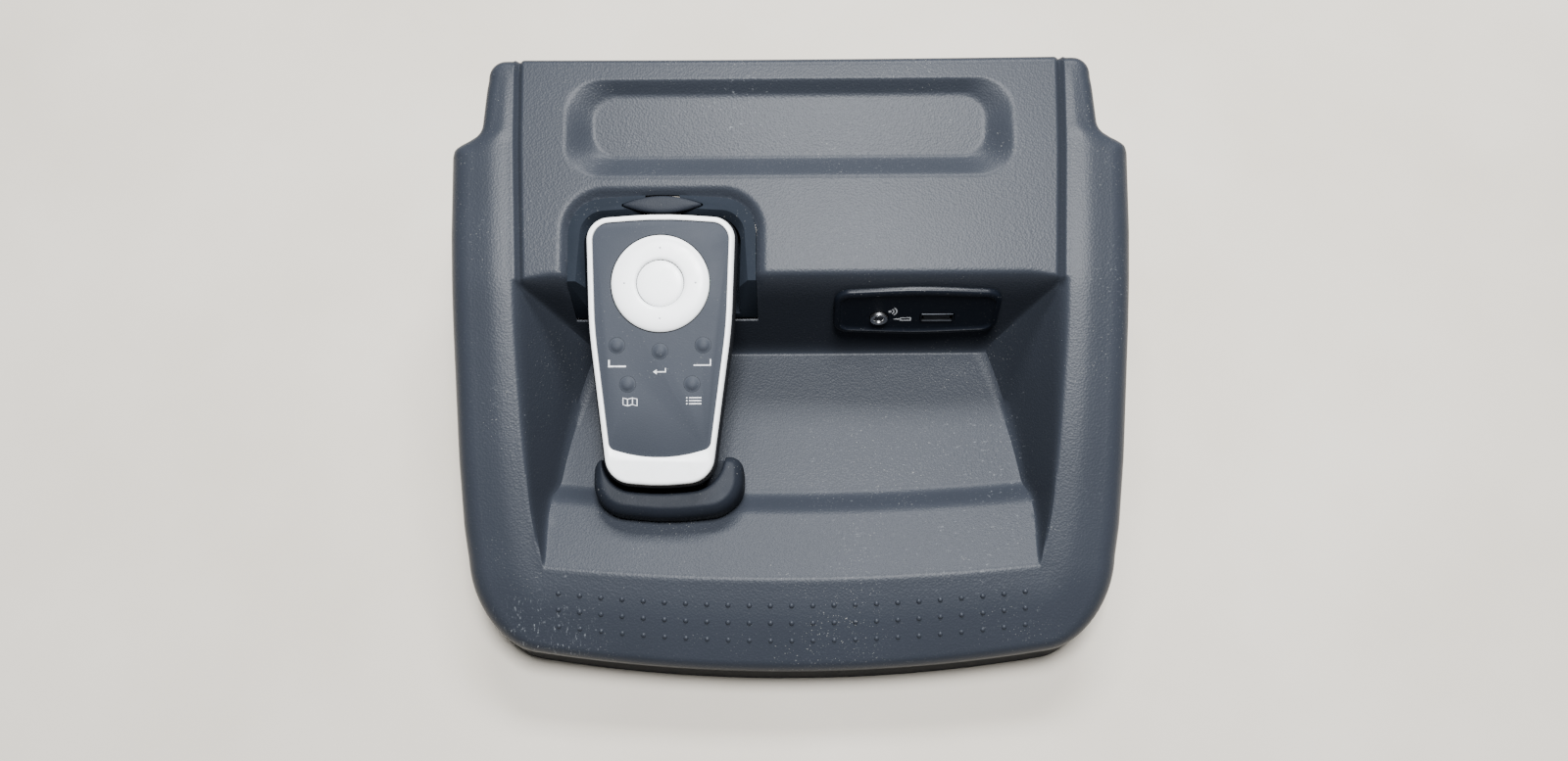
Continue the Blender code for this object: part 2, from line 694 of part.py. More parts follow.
def add_ribs(tray):
    """Stiffening ribs between the bin's underside and the side skirts."""
    for side, label in ((-1, "left"), (1, "right")):
        for y, name in ((-20.0 * MM, "a"), (10.0 * MM, "b")):
            inner = mouth_half_width(y) - 6.0 * MM
            outer = side_half_width(y) - 1.0 * MM
            top = rim_height(y) - 9.0 * MM
            low = (min(side * inner, side * outer), y - 1.0 * MM, top - 9.0 * MM)
            high = (max(side * inner, side * outer), y + 1.0 * MM, top)
            join(tray, box_mesh("rib_" + name + "_" + label, low, high))


def add_cradle_features(tray):
    """The opening for the cradle dish, its screw bosses, and the cup's screw holes."""
    place = handset_matrix()
    opening = plate_mesh("arch_opening", [arch_outline(6.0 * MM)], DISH_FLOOR_TOP - DISH_FLOOR - DISH_FIT,
                         20.0 * MM)
    cut(tray, moved(opening, place))
    for side, label in ((-1, "left"), (1, "right")):
        centre = (side * EAR_X, EAR_Y)
        boss = cylinder_mesh("boss_" + label, 3.6 * MM, DISH_FLOOR_TOP + GAP, -5.4 * MM, centre)
        join(tray, moved(boss, place))
        bore = cylinder_mesh("boss_bore_" + label, 1.3 * MM, DISH_FLOOR_TOP - 1.0 * MM, -12.0 * MM,
                             centre, 12)
        cut(tray, moved(bore, place))
    for x, label in zip(CUP_SCREW_X, ("left", "right")):
        cut(tray, cylinder_mesh("cup_hole_" + label, 1.6 * MM, 10.0 * MM, 23.0 * MM, (x, CUP_SCREW_Y), 12))


def add_socket_opening(tray):
    """The window in the back wall for the socket housing, with a hole at each side for a boss."""
    place = Matrix.Translation(socket_location()) @ Matrix.Rotation(socket_tilt(), 4, "X")
    half_x = SOCKET_OPENING[0] / 2
    half_y = SOCKET_OPENING[1] / 2
    window = box_mesh("socket_window", (-half_x, -half_y, -8.0 * MM), (half_x, half_y, 6.0 * MM))
    cut(tray, moved(window, place))
    for side, label in ((-1, "left"), (1, "right")):
        hole = cylinder_mesh("socket_hole_" + label, 2.9 * MM, -8.0 * MM, 6.0 * MM,
                             (side * SOCKET_SCREW_X, 0.0), 16)
        cut(tray, moved(hole, place))


def make_tray(materials):
    """The one-piece moulding."""
    tray = link_mesh("tray_shell", tray_surface(), materials["tray"])
    mirror = tray.modifiers.new("both halves", "MIRROR")
    mirror.use_axis = (True, False, False)
    mirror.use_mirror_merge = True
    mirror.merge_threshold = 0.00005
    thick = tray.modifiers.new("wall", "SOLIDIFY")
    thick.thickness = WALL
    thick.offset = -1.0
    thick.use_even_offset = True
    thick.use_quality_normals = True
    add_panel_recess(tray)
    add_grooves(tray)
    add_legs(tray)
    add_front_tabs(tray)
    add_ribs(tray)
    add_cradle_features(tray)
    add_socket_opening(tray)
    return tray


# ---- fasteners and springs -----------------------------------------------------------------------
def screw_mesh(name, shank_radius, shank_length, head_radius, head_height):
    """A pan-head screw pointing up, with the top of its head's bearing face at z = 0."""
    profile = [
        (0.0, shank_length),
        (shank_radius * 0.55, shank_length),
        (shank_radius, shank_length - shank_radius),
        (shank_radius, 0.0),
        (head_radius, 0.0),
        (head_radius, -head_height * 0.55),
        (head_radius * 0.7, -head_height),
        (0.0, -head_height),
    ]
    return turned_mesh(name, profile, 12)


def spring_clip_mesh(name):
    """A sheet-steel clip, bent round a tab that points along +Y from the origin."""
    half = [(-10.5, 3.6), (-6.0, 4.4), (-0.8, 2.0), (0.9, 1.6), (1.5, 0.8)]
    profile = half + [(y, -z) for y, z in reversed(half)]
    bm = bmesh.new()
    edge = 5.0 * MM
    pairs = [[bm.verts.new((x, y * MM, z * MM)) for x in (-edge, edge)] for y, z in profile]
    for (a, b), (c, d) in zip(pairs, pairs[1:]):
        bm.faces.new((a, b, d, c))
    return finish_mesh(name, bm)


def make_spring_clips(materials):
    """A clip on the end of each tab."""
    tip_y = LEG_Y + LEG_SIZE[1] / 2 + 11.0 * MM
    for side, label in ((-1, "left"), (1, "right")):
        places = {
            "rear": ((side * LEG_X, tip_y, REAR_TAB_Z), 0.0),
            "front": ((side * FRONT_TAB[0], FRONT_TAB[1], FRONT_TAB[2]), -pi / 2),
        }
        for where, (location, turn) in places.items():
            name = "spring_clip_" + where + "_" + label
            clip = link_mesh(name, spring_clip_mesh(name), materials["steel"])
            clip.location = location
            clip.rotation_euler = (turn, 0.0, 0.0)
            sheet = clip.modifiers.new("sheet", "SOLIDIFY")
            sheet.thickness = 0.6 * MM
            sheet.offset = 1.0


# ---- cradle --------------------------------------------------------------------------------------
def make_cradle_dish(materials, axis):
    """The dish behind the handset: a floor, an arched wall and two screw ears."""
    bottom = DISH_FLOOR_TOP - DISH_FLOOR
    outer = grown(arch_outline(8.0 * MM), -DISH_FIT)
    dish = link_mesh("cradle_dish", plate_mesh("cradle_dish", [outer], bottom, 6.0 * MM),
                     materials["soft"], axis)
    inner = grown(arch_outline(-20.0 * MM), -DISH_FIT - DISH_WALL)
    cut(dish, plate_mesh("dish_hollow", [inner], DISH_FLOOR_TOP, 12.0 * MM), axis)
    for side, label in ((-1, "left"), (1, "right")):
        reach = side * (EAR_X + 5.0 * MM)
        near = side * (ARCH_HALF_WIDTH - 2.0 * MM)
        low = (min(reach, near), EAR_Y - 6.0 * MM, bottom)
        high = (max(reach, near), EAR_Y + 6.0 * MM, DISH_FLOOR_TOP)
        join(dish, box_mesh("ear_" + label, low, high), axis)
        hole = cylinder_mesh("ear_hole_" + label, 1.6 * MM, bottom - 1.0 * MM, DISH_FLOOR_TOP + 1.0 * MM,
                             (side * EAR_X, EAR_Y), 12)
        cut(dish, hole, axis)
    slot = LATCH_SLOT_HALF_WIDTH
    cut(dish, box_mesh("latch_slot", (-slot, 48.0 * MM, DISH_FLOOR_TOP), (slot, 60.0 * MM, 12.0 * MM)), axis)
    pad = plate_mesh("latch_clearance", [lens_outline(1.12)], -9.4 * MM, 12.0 * MM)
    cut(dish, pad, axis)
    over_panel = box_mesh("over_panel", (-0.2, -0.1, -DISH_SINK), (0.2, 0.2, 0.1))
    cut(dish, moved(over_panel, panel_matrix(40.0 * MM)))
    wall_frame = Matrix.Translation(socket_location()) @ Matrix.Rotation(socket_tilt(), 4, "X")
    cut(dish, moved(box_mesh("before_wall", (-0.2, -0.1, -0.5 * MM), (0.2, 0.1, 0.1)), wall_frame))
    return dish


def lens_outline(share=1.0, segments=10):
    """The latch pad's outline at a share of its size: two shallow arcs that meet at blunt points."""
    half_length = LATCH_PAD[0] * share
    half_height = LATCH_PAD[1] * share
    radius = (half_length ** 2 + half_height ** 2) / (2 * half_height)
    reach = atan2(half_length, radius - half_height) * 0.94
    points = []
    for side in (-1, 1):
        for k in range(segments + 1):
            angle = reach * (2 * k / segments - 1)
            x = -side * radius * sin(angle)
            y = side * (radius * cos(angle) - radius + half_height)
            points.append((x, LATCH_Y + y))
    return points


def make_latch(materials, axis):
    """The release button over the arch, and the spring under its stem."""
    levels = ((-7.0, 1.0), (-5.2, 1.0), (-4.6, 0.9), (-4.3, 0.7))
    rings = [[(x, y, z * MM) for x, y in lens_outline(share)] for z, share in levels]
    button = link_mesh("latch_button", loft_mesh("latch_button", rings), materials["soft"], axis)
    stem = box_mesh("latch_stem", (-5.6 * MM, 53.0 * MM, -15.0 * MM), (5.6 * MM, 55.4 * MM, -6.0 * MM))
    join(button, stem, axis)
    turns = 5
    steps = 10
    low = DISH_FLOOR_TOP + GAP + 0.3 * MM
    high = -17.4 * MM
    points = []
    for i in range(turns * steps + 1):
        angle = 2 * pi * i / steps
        share = i / (turns * steps)
        points.append((1.5 * MM * cos(angle), 54.3 * MM + 1.5 * MM * sin(angle), low + (high - low) * share))
    link_mesh("latch_spring", wire_mesh("latch_spring", points, 0.25 * MM), materials["steel"], axis)


def make_cradle_cup(materials):
    """The soft pocket round the handset's lower end, over the bin's floor and step."""
    step = 5.0 * MM
    x = CUP_HALF_WIDTH
    corners = [(x, CUP_BACK_Y, 5.0 * MM), (-x, CUP_BACK_Y, 5.0 * MM),
               (-x, CUP_FRONT_Y + step * 0.5, 13.0 * MM), (0.0, CUP_FRONT_Y - 0.6 * MM, 90.0 * MM),
               (x, CUP_FRONT_Y + step * 0.5, 13.0 * MM)]
    outer = [(CUP_X + a, b) for a, b in rounded_polygon(corners)]
    levels = ((12.0, 0.0), (31.0, 0.0), (34.5, -0.5), (36.6, -1.8), (37.5, -3.0))
    rings = [[(a, b, z * MM) for a, b in grown(outer, grow * MM)] for z, grow in levels]
    cup = link_mesh("cradle_cup", loft_mesh("cradle_cup", rings), materials["soft"])
    pocket_half = CUP_HALF_WIDTH - 3.6 * MM
    pocket = [(pocket_half, -20.0 * MM, 1.0 * MM), (-pocket_half, -20.0 * MM, 1.0 * MM),
              (-pocket_half, -47.0 * MM, 11.0 * MM), (0.0, -49.6 * MM, 90.0 * MM),
              (pocket_half, -47.0 * MM, 11.0 * MM)]
    inner = [(CUP_X + a, b) for a, b in rounded_polygon(pocket)]
    cut(cup, plate_mesh("cup_pocket", [inner], CUP_FLOOR_Z, 60.0 * MM))
    cut(cup, under_cup_mesh())
    for x, label in zip(CUP_SCREW_X, ("left", "right")):
        cut(cup, cylinder_mesh("cup_bore_" + label, 1.3 * MM, 10.0 * MM, 23.6 * MM, (x, CUP_SCREW_Y), 12))


def under_cup_mesh():
    """Everything below the bin's floor, step and shelf where the cup lies, with a small clearance."""
    rows = ((-25.0 * MM, 2.4 * MM), (STEP_FOOT[0], 4.2 * MM), (STEP_TOP[0], LIP_BOW), (-60.0 * MM, LIP_BOW))
    rings = []
    for k in range(9):
        x = (-80.0 + 9.0 * k) * MM
        ring = [(x, y + bow * (x / BOW_REACH) ** 2, bin_height(y, x) + 0.4 * MM) for y, bow in rows]
        rings.append(ring + [(x, -62.0 * MM, 5.0 * MM), (x, -20.0 * MM, 5.0 * MM)])
    return loft_mesh("under_cup", rings)


def make_cradle_screws(materials, axis):
    """Two screws hold the dish from below, and two hold the cup."""
    bottom = DISH_FLOOR_TOP - DISH_FLOOR - GAP
    for side, label in ((-1, "left"), (1, "right")):
        name = "dish_screw_" + label
        mesh = screw_mesh(name, 1.0 * MM, 10.0 * MM, 2.8 * MM, 2.0 * MM)
        screw = link_mesh(name, mesh, materials["steel"], axis)
        screw.location = (side * EAR_X, EAR_Y, bottom)
    for x, label in zip(CUP_SCREW_X, ("left", "right")):
        name = "cup_screw_" + label
        mesh = screw_mesh(name, 1.0 * MM, 6.4 * MM, 2.8 * MM, 2.0 * MM)
        screw = link_mesh(name, mesh, materials["steel"])
        screw.location = (x, CUP_SCREW_Y, 16.2 * MM)


# ---- socket plate --------------------------------------------------------------------------------
def make_socket(materials, axis):
    """The gloss plate with its audio jack and USB slot, and the module behind the wall."""
    x = SOCKET_HALF_WIDTH
    y = SOCKET_HALF_HEIGHT
    right = [(0.0, -y - 0.4 * MM, 150.0 * MM), (x, -y + 1.6 * MM, 6.0 * MM), (x, y - 1.6 * MM, 6.0 * MM),
             (0.0, y + 0.4 * MM, 150.0 * MM)]
    outline = rounded_polygon(mirrored_corners(right))
    levels = ((GAP, 0.0), (1.9 * MM, 0.0), (2.6 * MM, -0.7 * MM))
    rings = [[(a, b, z) for a, b in grown(outline, grow)] for z, grow in levels]
    bezel = link_mesh("socket_bezel", loft_mesh("socket_bezel", rings), materials["gloss"], axis)
    cut(bezel, plate_mesh("bezel_field", [grown(outline, -2.2 * MM)], 1.9 * MM, 5.0 * MM), axis)
    for side, label in ((-1, "left"), (1, "right")):
        centre = (side * SOCKET_SCREW_X, 0.0)
        boss = cylinder_mesh("bezel_boss_" + label, 2.3 * MM, -2.5 * MM, 1.0 * MM, centre, 16)
        join(bezel, boss, axis)
        bore = cylinder_mesh("bezel_bore_" + label, 1.3 * MM, -4.0 * MM, 0.9 * MM, centre, 12)
        cut(bezel, bore, axis)
    cut(bezel, cylinder_mesh("jack_hole", 3.55 * MM, -3.0 * MM, 5.0 * MM, (JACK_X, PORT_Y), 24), axis)
    slot = (USB_X - USB_SIZE[0] / 2 - GAP, PORT_Y - USB_SIZE[1] / 2 - GAP, -3.0 * MM)
    slot_end = (USB_X + USB_SIZE[0] / 2 + GAP, PORT_Y + USB_SIZE[1] / 2 + GAP, 5.0 * MM)
    cut(bezel, box_mesh("usb_hole", slot, slot_end), axis)
    make_socket_housing(materials, axis)
    make_socket_ports(materials, axis)


def make_socket_housing(materials, axis):
    """An open box behind the plate, with ears for its screws and a port for the connector."""
    half_x = SOCKET_OPENING[0] / 2 - GAP
    half_y = SOCKET_OPENING[1] / 2 - GAP
    wall = 1.6 * MM
    housing = link_mesh("socket_housing", box_mesh("socket_housing", (-half_x, -half_y, -HOUSING_DEPTH),
                                                   (half_x, half_y, 0.0)), materials["dark"], axis)
    for side, label in ((-1, "left"), (1, "right")):
        near = side * (half_x - 1.0 * MM)
        reach = side * (SOCKET_SCREW_X + 4.0 * MM)
        ear = box_mesh("housing_ear_" + label, (min(near, reach), -5.0 * MM, -5.0 * MM),
                       (max(near, reach), 5.0 * MM, -2.9 * MM))
        join(housing, ear, axis)
        hole = cylinder_mesh("housing_hole_" + label, 1.5 * MM, -6.0 * MM, -2.0 * MM,
                             (side * SOCKET_SCREW_X, 0.0), 12)
        cut(housing, hole, axis)
    cut(housing, box_mesh("housing_hollow", (-half_x + wall, -half_y + wall, -HOUSING_DEPTH + wall),
                          (half_x - wall, half_y - wall, 1.0 * MM)), axis)
    cut(housing, box_mesh("housing_port", (-7.4 * MM, -4.4 * MM, -HOUSING_DEPTH - 1.0 * MM),
                          (7.4 * MM, 4.4 * MM, -HOUSING_DEPTH + 3.0 * MM)), axis)
    for side, label in ((-1, "left"), (1, "right")):
        name = "socket_screw_" + label
        mesh = screw_mesh(name, 1.0 * MM, 5.6 * MM, 2.6 * MM, 1.8 * MM)
        screw = link_mesh(name, mesh, materials["steel"], axis)
        screw.location = (side * SOCKET_SCREW_X, 0.0, -5.3 * MM)


def make_socket_ports(materials, axis):
    """Jack sleeve, USB shell and tongue, circuit board and rear connector."""
    outer = 3.2 * MM
    bore = 1.8 * MM
    top = 2.9 * MM
    bottom = -13.0 * MM
    profile = [(bore, top), (outer - 0.3 * MM, top), (outer, top - 0.3 * MM), (outer, bottom), (bore, bottom)]
    mesh = turned_mesh("jack_sleeve", profile, 24, True)
    sleeve = link_mesh("jack_sleeve", mesh, materials["steel"], axis)
    sleeve.location = (JACK_X, PORT_Y, 0.0)
    width, height = USB_SIZE
    wall = 0.4 * MM
    outlines = [rectangle(width, height), rectangle(width - 2 * wall, height - 2 * wall, radius=0.2 * MM)]
    mesh = plate_mesh("usb_shell", outlines, bottom, 2.0 * MM)
    shell = link_mesh("usb_shell", mesh, materials["steel"], axis)
    shell.location = (USB_X, PORT_Y, 0.0)
    tongue = box_mesh("usb_tongue", (-4.9 * MM, -1.5 * MM, -12.6 * MM), (4.9 * MM, 0.1 * MM, 1.0 * MM))
    tongue = link_mesh("usb_tongue", tongue, materials["dark"], axis)
    tongue.location = (USB_X, PORT_Y, 0.0)
    board = box_mesh("socket_board", (-21.0 * MM, 0.0, -18.5 * MM), (21.0 * MM, 1.6 * MM, -13.3 * MM))
    board = link_mesh("socket_board", board, materials["board"], axis)
    board.location = (0.0, 2.4 * MM, 0.0)
    connector = box_mesh("socket_connector", (-7.0 * MM, -4.0 * MM, -26.0 * MM),
                         (7.0 * MM, 2.1 * MM, -15.0 * MM))
    link_mesh("socket_connector", connector, materials["dark"], axis)


# ---- handset -------------------------------------------------------------------------------------
def make_handset_case(materials, axis):
    """The rear case: a round-backed tub with bosses, a battery opening and a lamp window."""
    outline = handset_outline()
    levels = ((CASE_BACK / MM, -4.6), (-20.2, -2.6), (-18.0, -0.9), (-13.0, 0.4), (-6.0, 1.0), (-3.8, 0.8),
              (-3.0, 0.1))
    rings = [[(x, y, z * MM) for x, y in grown(outline, grow * MM)] for z, grow in levels]
    mesh = loft_mesh("handset_case", rings, open_top=True)
    case = link_mesh("handset_case", mesh, materials["case"], axis)
    thick = case.modifiers.new("wall", "SOLIDIFY")
    thick.thickness = CASE_WALL
    thick.offset = -1.0
    for i, (x, y) in enumerate(CASE_SCREWS):
        centre = (x * MM, y * MM)
        below = CASE_BACK - 1.0 * MM
        boss = cylinder_mesh("case_boss_%d" % i, 3.1 * MM, CASE_BACK + 0.9 * MM, -6.4 * MM, centre)
        join(case, boss, axis)
        cut(case, cylinder_mesh("case_bore_%d" % i, 1.3 * MM, below, -5.0 * MM, centre, 12), axis)
        cut(case, cylinder_mesh("case_sink_%d" % i, 2.4 * MM, below, CASE_BACK + 2.4 * MM, centre), axis)
    half = DOOR_HALF_WIDTH + 0.35 * MM
    low = (-half, DOOR_Y[0] - DOOR_TRAVEL - 0.4 * MM, CASE_BACK - 1.0 * MM)
    high = (half, DOOR_Y[1] + 0.35 * MM, CASE_BACK + 3.0 * MM)
    cut(case, box_mesh("battery_opening", low, high), axis)
    low = (-7.0 * MM, 44.0 * MM, -10.6 * MM)
    high = (7.0 * MM, 54.0 * MM, -5.8 * MM)
    cut(case, box_mesh("lamp_opening", low, high), axis)
    low = (-6.7 * MM, 46.9 * MM, -10.3 * MM)
    high = (6.7 * MM, 49.2 * MM, -6.1 * MM)
    window = box_mesh("infrared_window", low, high)
    link_mesh("infrared_window", window, materials["lens"], axis)
    for i, (x, y) in enumerate(CASE_SCREWS):
        name = "case_screw_%d" % (i + 1)
        mesh = screw_mesh(name, 1.0 * MM, 10.0 * MM, 2.0 * MM, 1.4 * MM)
        screw = link_mesh(name, mesh, materials["steel"], axis)
        screw.location = (x * MM, y * MM, CASE_BACK + 2.1 * MM)


def make_handset_front(materials, axis):
    """The silver frame with its chin, and the soft face with its openings."""
    frame = plate_mesh("handset_frame", [handset_outline(), face_outline()], FRAME_BOTTOM, FRAME_TOP)
    link_mesh("handset_frame", frame, materials["silver"], axis)
    holes = [circle(ROCKER_RADIUS + 0.5 * MM, (0.0, ROCKER_Y), 40)]
    holes += [circle(KEY_RADIUS + 0.4 * MM, centre, 16) for centre in KEYS.values()]
    face = plate_mesh("handset_face", [grown(face_outline(), -GAP)] + holes, FACE_BOTTOM, 0.0)
    link_mesh("handset_face", face, materials["face"], axis)


def make_rocker(materials, axis):
    """Rocker ring on its gimbal, with the round centre key inside it."""
    outer = ROCKER_RADIUS
    inner = CENTRE_KEY_RADIUS + 0.35 * MM
    profile = [(inner, 0.75), (inner + 0.4 * MM, 1.0), (outer * 0.75, 1.05), (outer - 1.6 * MM, 0.8),
               (outer - 0.4 * MM, 0.4), (outer, -0.2), (outer, -1.5), (inner, -1.5)]
    profile = [(radius, z * MM) for radius, z in profile]
    centre = (0.0, ROCKER_Y)
    ring = link_mesh("rocker_ring", turned_mesh("rocker_ring", profile, 40, True), materials["white"], axis)
    ring.location = (*centre, 0.0)
    gimbal = plate_mesh("rocker_gimbal", [circle(13.5 * MM, segments=24), circle(9.2 * MM, segments=24)],
                        -3.0 * MM, -2.3 * MM)
    gimbal = link_mesh("rocker_gimbal", gimbal, materials["dark"], axis)
    gimbal.location = (*centre, 0.0)
    radius = CENTRE_KEY_RADIUS
    profile = [(0.0, 0.75), (radius * 0.7, 0.7), (radius - 0.4 * MM, 0.55), (radius, 0.2), (radius, -1.2),
               (3.0 * MM, -1.2), (3.0 * MM, STEM_BOTTOM / MM), (0.0, STEM_BOTTOM / MM)]
    profile = [(r, z * MM) for r, z in profile]
    key = link_mesh("centre_key", turned_mesh("centre_key", profile, 32), materials["white"], axis)
    key.location = (*centre, 0.0)


def make_keys(materials, axis):
    """Five dome keys, each held under the face by its flange."""
    radius = KEY_RADIUS
    for label, (x, y) in KEYS.items():
        profile = [(0.0, 0.75), (radius * 0.45, 0.62), (radius * 0.8, 0.3), (radius, -0.1), (radius, -2.7),
                   (radius + 1.3 * MM, -2.7), (radius + 1.3 * MM, -3.1), (0.0, STEM_BOTTOM / MM)]
        profile = [(r, z * MM) for r, z in profile]
        name = "key_" + label
        key = link_mesh(name, turned_mesh(name, profile, 16), materials["face"], axis)
        key.location = (x, y, 0.0)


def make_switches(materials, axis):
    """A tact switch under each key, under the centre key and under each side of the rocker."""
    places = dict(KEYS)
    places["centre"] = (0.0, ROCKER_Y)
    for label, turn in (("right_way", 0), ("up_way", 1), ("left_way", 2), ("down_way", 3)):
        angle = pi / 2 * turn
        reach = ROCKER_SWITCH_RADIUS
        places[label] = (reach * cos(angle), ROCKER_Y + reach * sin(angle))
    half = 2.2 * MM
    for label, (x, y) in places.items():
        name = "switch_" + label
        low = (-half, -half, BOARD_TOP + GAP)
        switch = box_mesh(name, low, (half, half, SWITCH_TOP - 0.25 * MM))
        switch = link_mesh(name, switch, materials["dark"], axis)
        plunger = cylinder_mesh(name + "_plunger", 1.2 * MM, SWITCH_TOP - 0.5 * MM, SWITCH_TOP, (x, y), 10)
        join(switch, plunger, axis)
        switch.location = (x, y, 0.0)


def make_electronics(materials, axis):
    """Circuit board and infrared lamp."""
    right = [(17.0, -30.0, 2.0), (21.5, 30.0, 2.0), (21.0, 37.8, 2.0)]
    corners = mirrored_corners([(x * MM, y * MM, r * MM) for x, y, r in right])
    outline = rounded_polygon(corners, step=radians(30.0))
    board = plate_mesh("handset_board", [outline], BOARD_TOP - BOARD_THICKNESS, BOARD_TOP)
    link_mesh("handset_board", board, materials["board"], axis)
    profile = [(0.0, 3.2), (1.1, 2.9), (1.9, 2.0), (2.1, 0.8), (2.1, -2.6), (0.0, -2.6)]
    lamp = turned_mesh("infrared_lamp", [(r * MM, z * MM) for r, z in profile], 14)
    lamp = link_mesh("infrared_lamp", lamp, materials["lens"], axis)
    lamp.location = (0.0, 42.8 * MM, -8.2 * MM)
    lamp.rotation_euler = (-pi / 2, 0.0, 0.0)


def make_battery(materials, axis):
    """Two cells, their springs and contacts, and the sliding door under them."""
    radius = CELL_RADIUS
    length = CELL_LENGTH
    profile = [(0.0, length), (1.9 * MM, length), (1.9 * MM, length - 0.9 * MM), (radius, length - 0.9 * MM),
               (radius, 0.0), (0.0, 0.0)]
    for side, label in ((-1, "left"), (1, "right")):
        name = "battery_cell_" + label
        cell = link_mesh(name, turned_mesh(name, profile, 20), materials["cell"], axis)
        flipped = side > 0
        bottom = CELL_BOTTOM_Y + (length if flipped else 0.0)
        cell.location = (side * CELL_X, bottom, CELL_Z)
        cell.rotation_euler = (pi / 2 if flipped else -pi / 2, 0.0, 0.0)
        flat_end = bottom
        way = 1.0 if flipped else -1.0
        points = []
        turns = 4
        steps = 10
        for i in range(turns * steps + 1):
            angle = 2 * pi * i / steps
            share = i / (turns * steps)
            coil = (2.2 + 1.6 * share) * MM
            points.append((side * CELL_X + coil * cos(angle), flat_end + way * (0.7 + 5.0 * share) * MM,
                           CELL_Z + coil * sin(angle)))
        name = "battery_spring_" + label
        link_mesh(name, wire_mesh(name, points, 0.3 * MM), materials["steel"], axis)
        tip = bottom - way * length
        near = tip - way * GAP
        far = near - way * 0.5 * MM
        low = (side * CELL_X - 4.0 * MM, min(near, far), CELL_Z - 4.0 * MM)
        high = (side * CELL_X + 4.0 * MM, max(near, far), CELL_Z + 4.0 * MM)
        name = "battery_contact_" + label
        link_mesh(name, box_mesh(name, low, high), materials["steel"], axis)
    low = (-DOOR_HALF_WIDTH, DOOR_Y[0], CASE_BACK + 0.05 * MM)
    high = (DOOR_HALF_WIDTH, DOOR_Y[1], CASE_BACK + CASE_WALL + 0.6 * MM)
    door = link_mesh("battery_door", box_mesh("battery_door", low, high), materials["case"], axis)
    flange_bottom = CASE_BACK + CASE_WALL + GAP
    low = (-DOOR_HALF_WIDTH - 1.0 * MM, DOOR_Y[0] - DOOR_TRAVEL + 0.3 * MM, flange_bottom)
    high = (DOOR_HALF_WIDTH + 1.0 * MM, DOOR_Y[1] - 0.8 * MM, flange_bottom + 1.1 * MM)
    join(door, box_mesh("door_flange", low, high), axis)


# ---- the whole object ----------------------------------------------------------------------------
def build():
    global PARTS, CUTTERS
    clear_scene()
    PARTS = new_collection("dash_tray_with_handset")
    CUTTERS = new_collection("cutters")
    materials = make_materials()
    handset_axis = frame_empty("handset_axis", HANDSET_ORIGIN, HANDSET_TILT)
    socket_axis = frame_empty("socket_axis", socket_location(), socket_tilt())
    make_tray(materials)
    make_spring_clips(materials)
    make_cradle_dish(materials, handset_axis)
    make_latch(materials, handset_axis)
    make_cradle_cup(materials)
    make_cradle_screws(materials, handset_axis)
    make_socket(materials, socket_axis)
    make_handset_case(materials, handset_axis)
    make_handset_front(materials, handset_axis)
    make_rocker(materials, handset_axis)
    make_keys(materials, handset_axis)
    make_switches(materials, handset_axis)
    make_electronics(materials, handset_axis)
    make_battery(materials, handset_axis)


build()
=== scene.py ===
"""Looks of the dashboard tray with its docked handset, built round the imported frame.

Shape functions work in millimetres, and a mesh is made in metres. The handset's and the socket plate's
pieces are drawn in their own frames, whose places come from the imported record.
"""
import json
from math import atan2, cos, hypot, pi, radians, sin

import bmesh
import bpy
import numpy as np
from mathutils import Euler, Matrix, Vector
from mathutils.geometry import interpolate_bezier


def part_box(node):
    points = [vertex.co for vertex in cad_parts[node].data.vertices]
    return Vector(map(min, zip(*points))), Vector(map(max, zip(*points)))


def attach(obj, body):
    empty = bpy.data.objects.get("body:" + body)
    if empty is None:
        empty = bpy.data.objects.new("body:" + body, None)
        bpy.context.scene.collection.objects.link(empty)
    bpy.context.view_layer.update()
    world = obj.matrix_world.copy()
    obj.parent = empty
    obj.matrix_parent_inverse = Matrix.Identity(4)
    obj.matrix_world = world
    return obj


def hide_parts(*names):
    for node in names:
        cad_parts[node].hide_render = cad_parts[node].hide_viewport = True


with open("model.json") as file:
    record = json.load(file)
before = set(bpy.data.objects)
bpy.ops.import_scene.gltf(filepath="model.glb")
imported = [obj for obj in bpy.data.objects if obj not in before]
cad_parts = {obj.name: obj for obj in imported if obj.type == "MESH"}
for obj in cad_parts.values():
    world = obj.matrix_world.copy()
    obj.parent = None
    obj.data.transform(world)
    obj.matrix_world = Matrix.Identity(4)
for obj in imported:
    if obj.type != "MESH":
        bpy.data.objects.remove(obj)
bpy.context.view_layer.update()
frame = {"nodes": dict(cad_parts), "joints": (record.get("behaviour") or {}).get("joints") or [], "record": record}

MM = 0.001
SIDES = ((-1, "left"), (1, "right"))
JOINTS = {joint["name"]: joint for joint in frame["joints"]}
MOUNTS = {mount["name"]: mount for mount in frame["record"]["mounts"]}

# ---- camera: place in metres, lens and sensor in millimetres --------------------------------------
CAMERA_PLACE = (0.00075, -0.1395, 0.459)
CAMERA_TURN = (radians(17.62), radians(0.48), radians(-0.18))
CAMERA_LENS = 27.81
CAMERA_SENSOR = 36.0

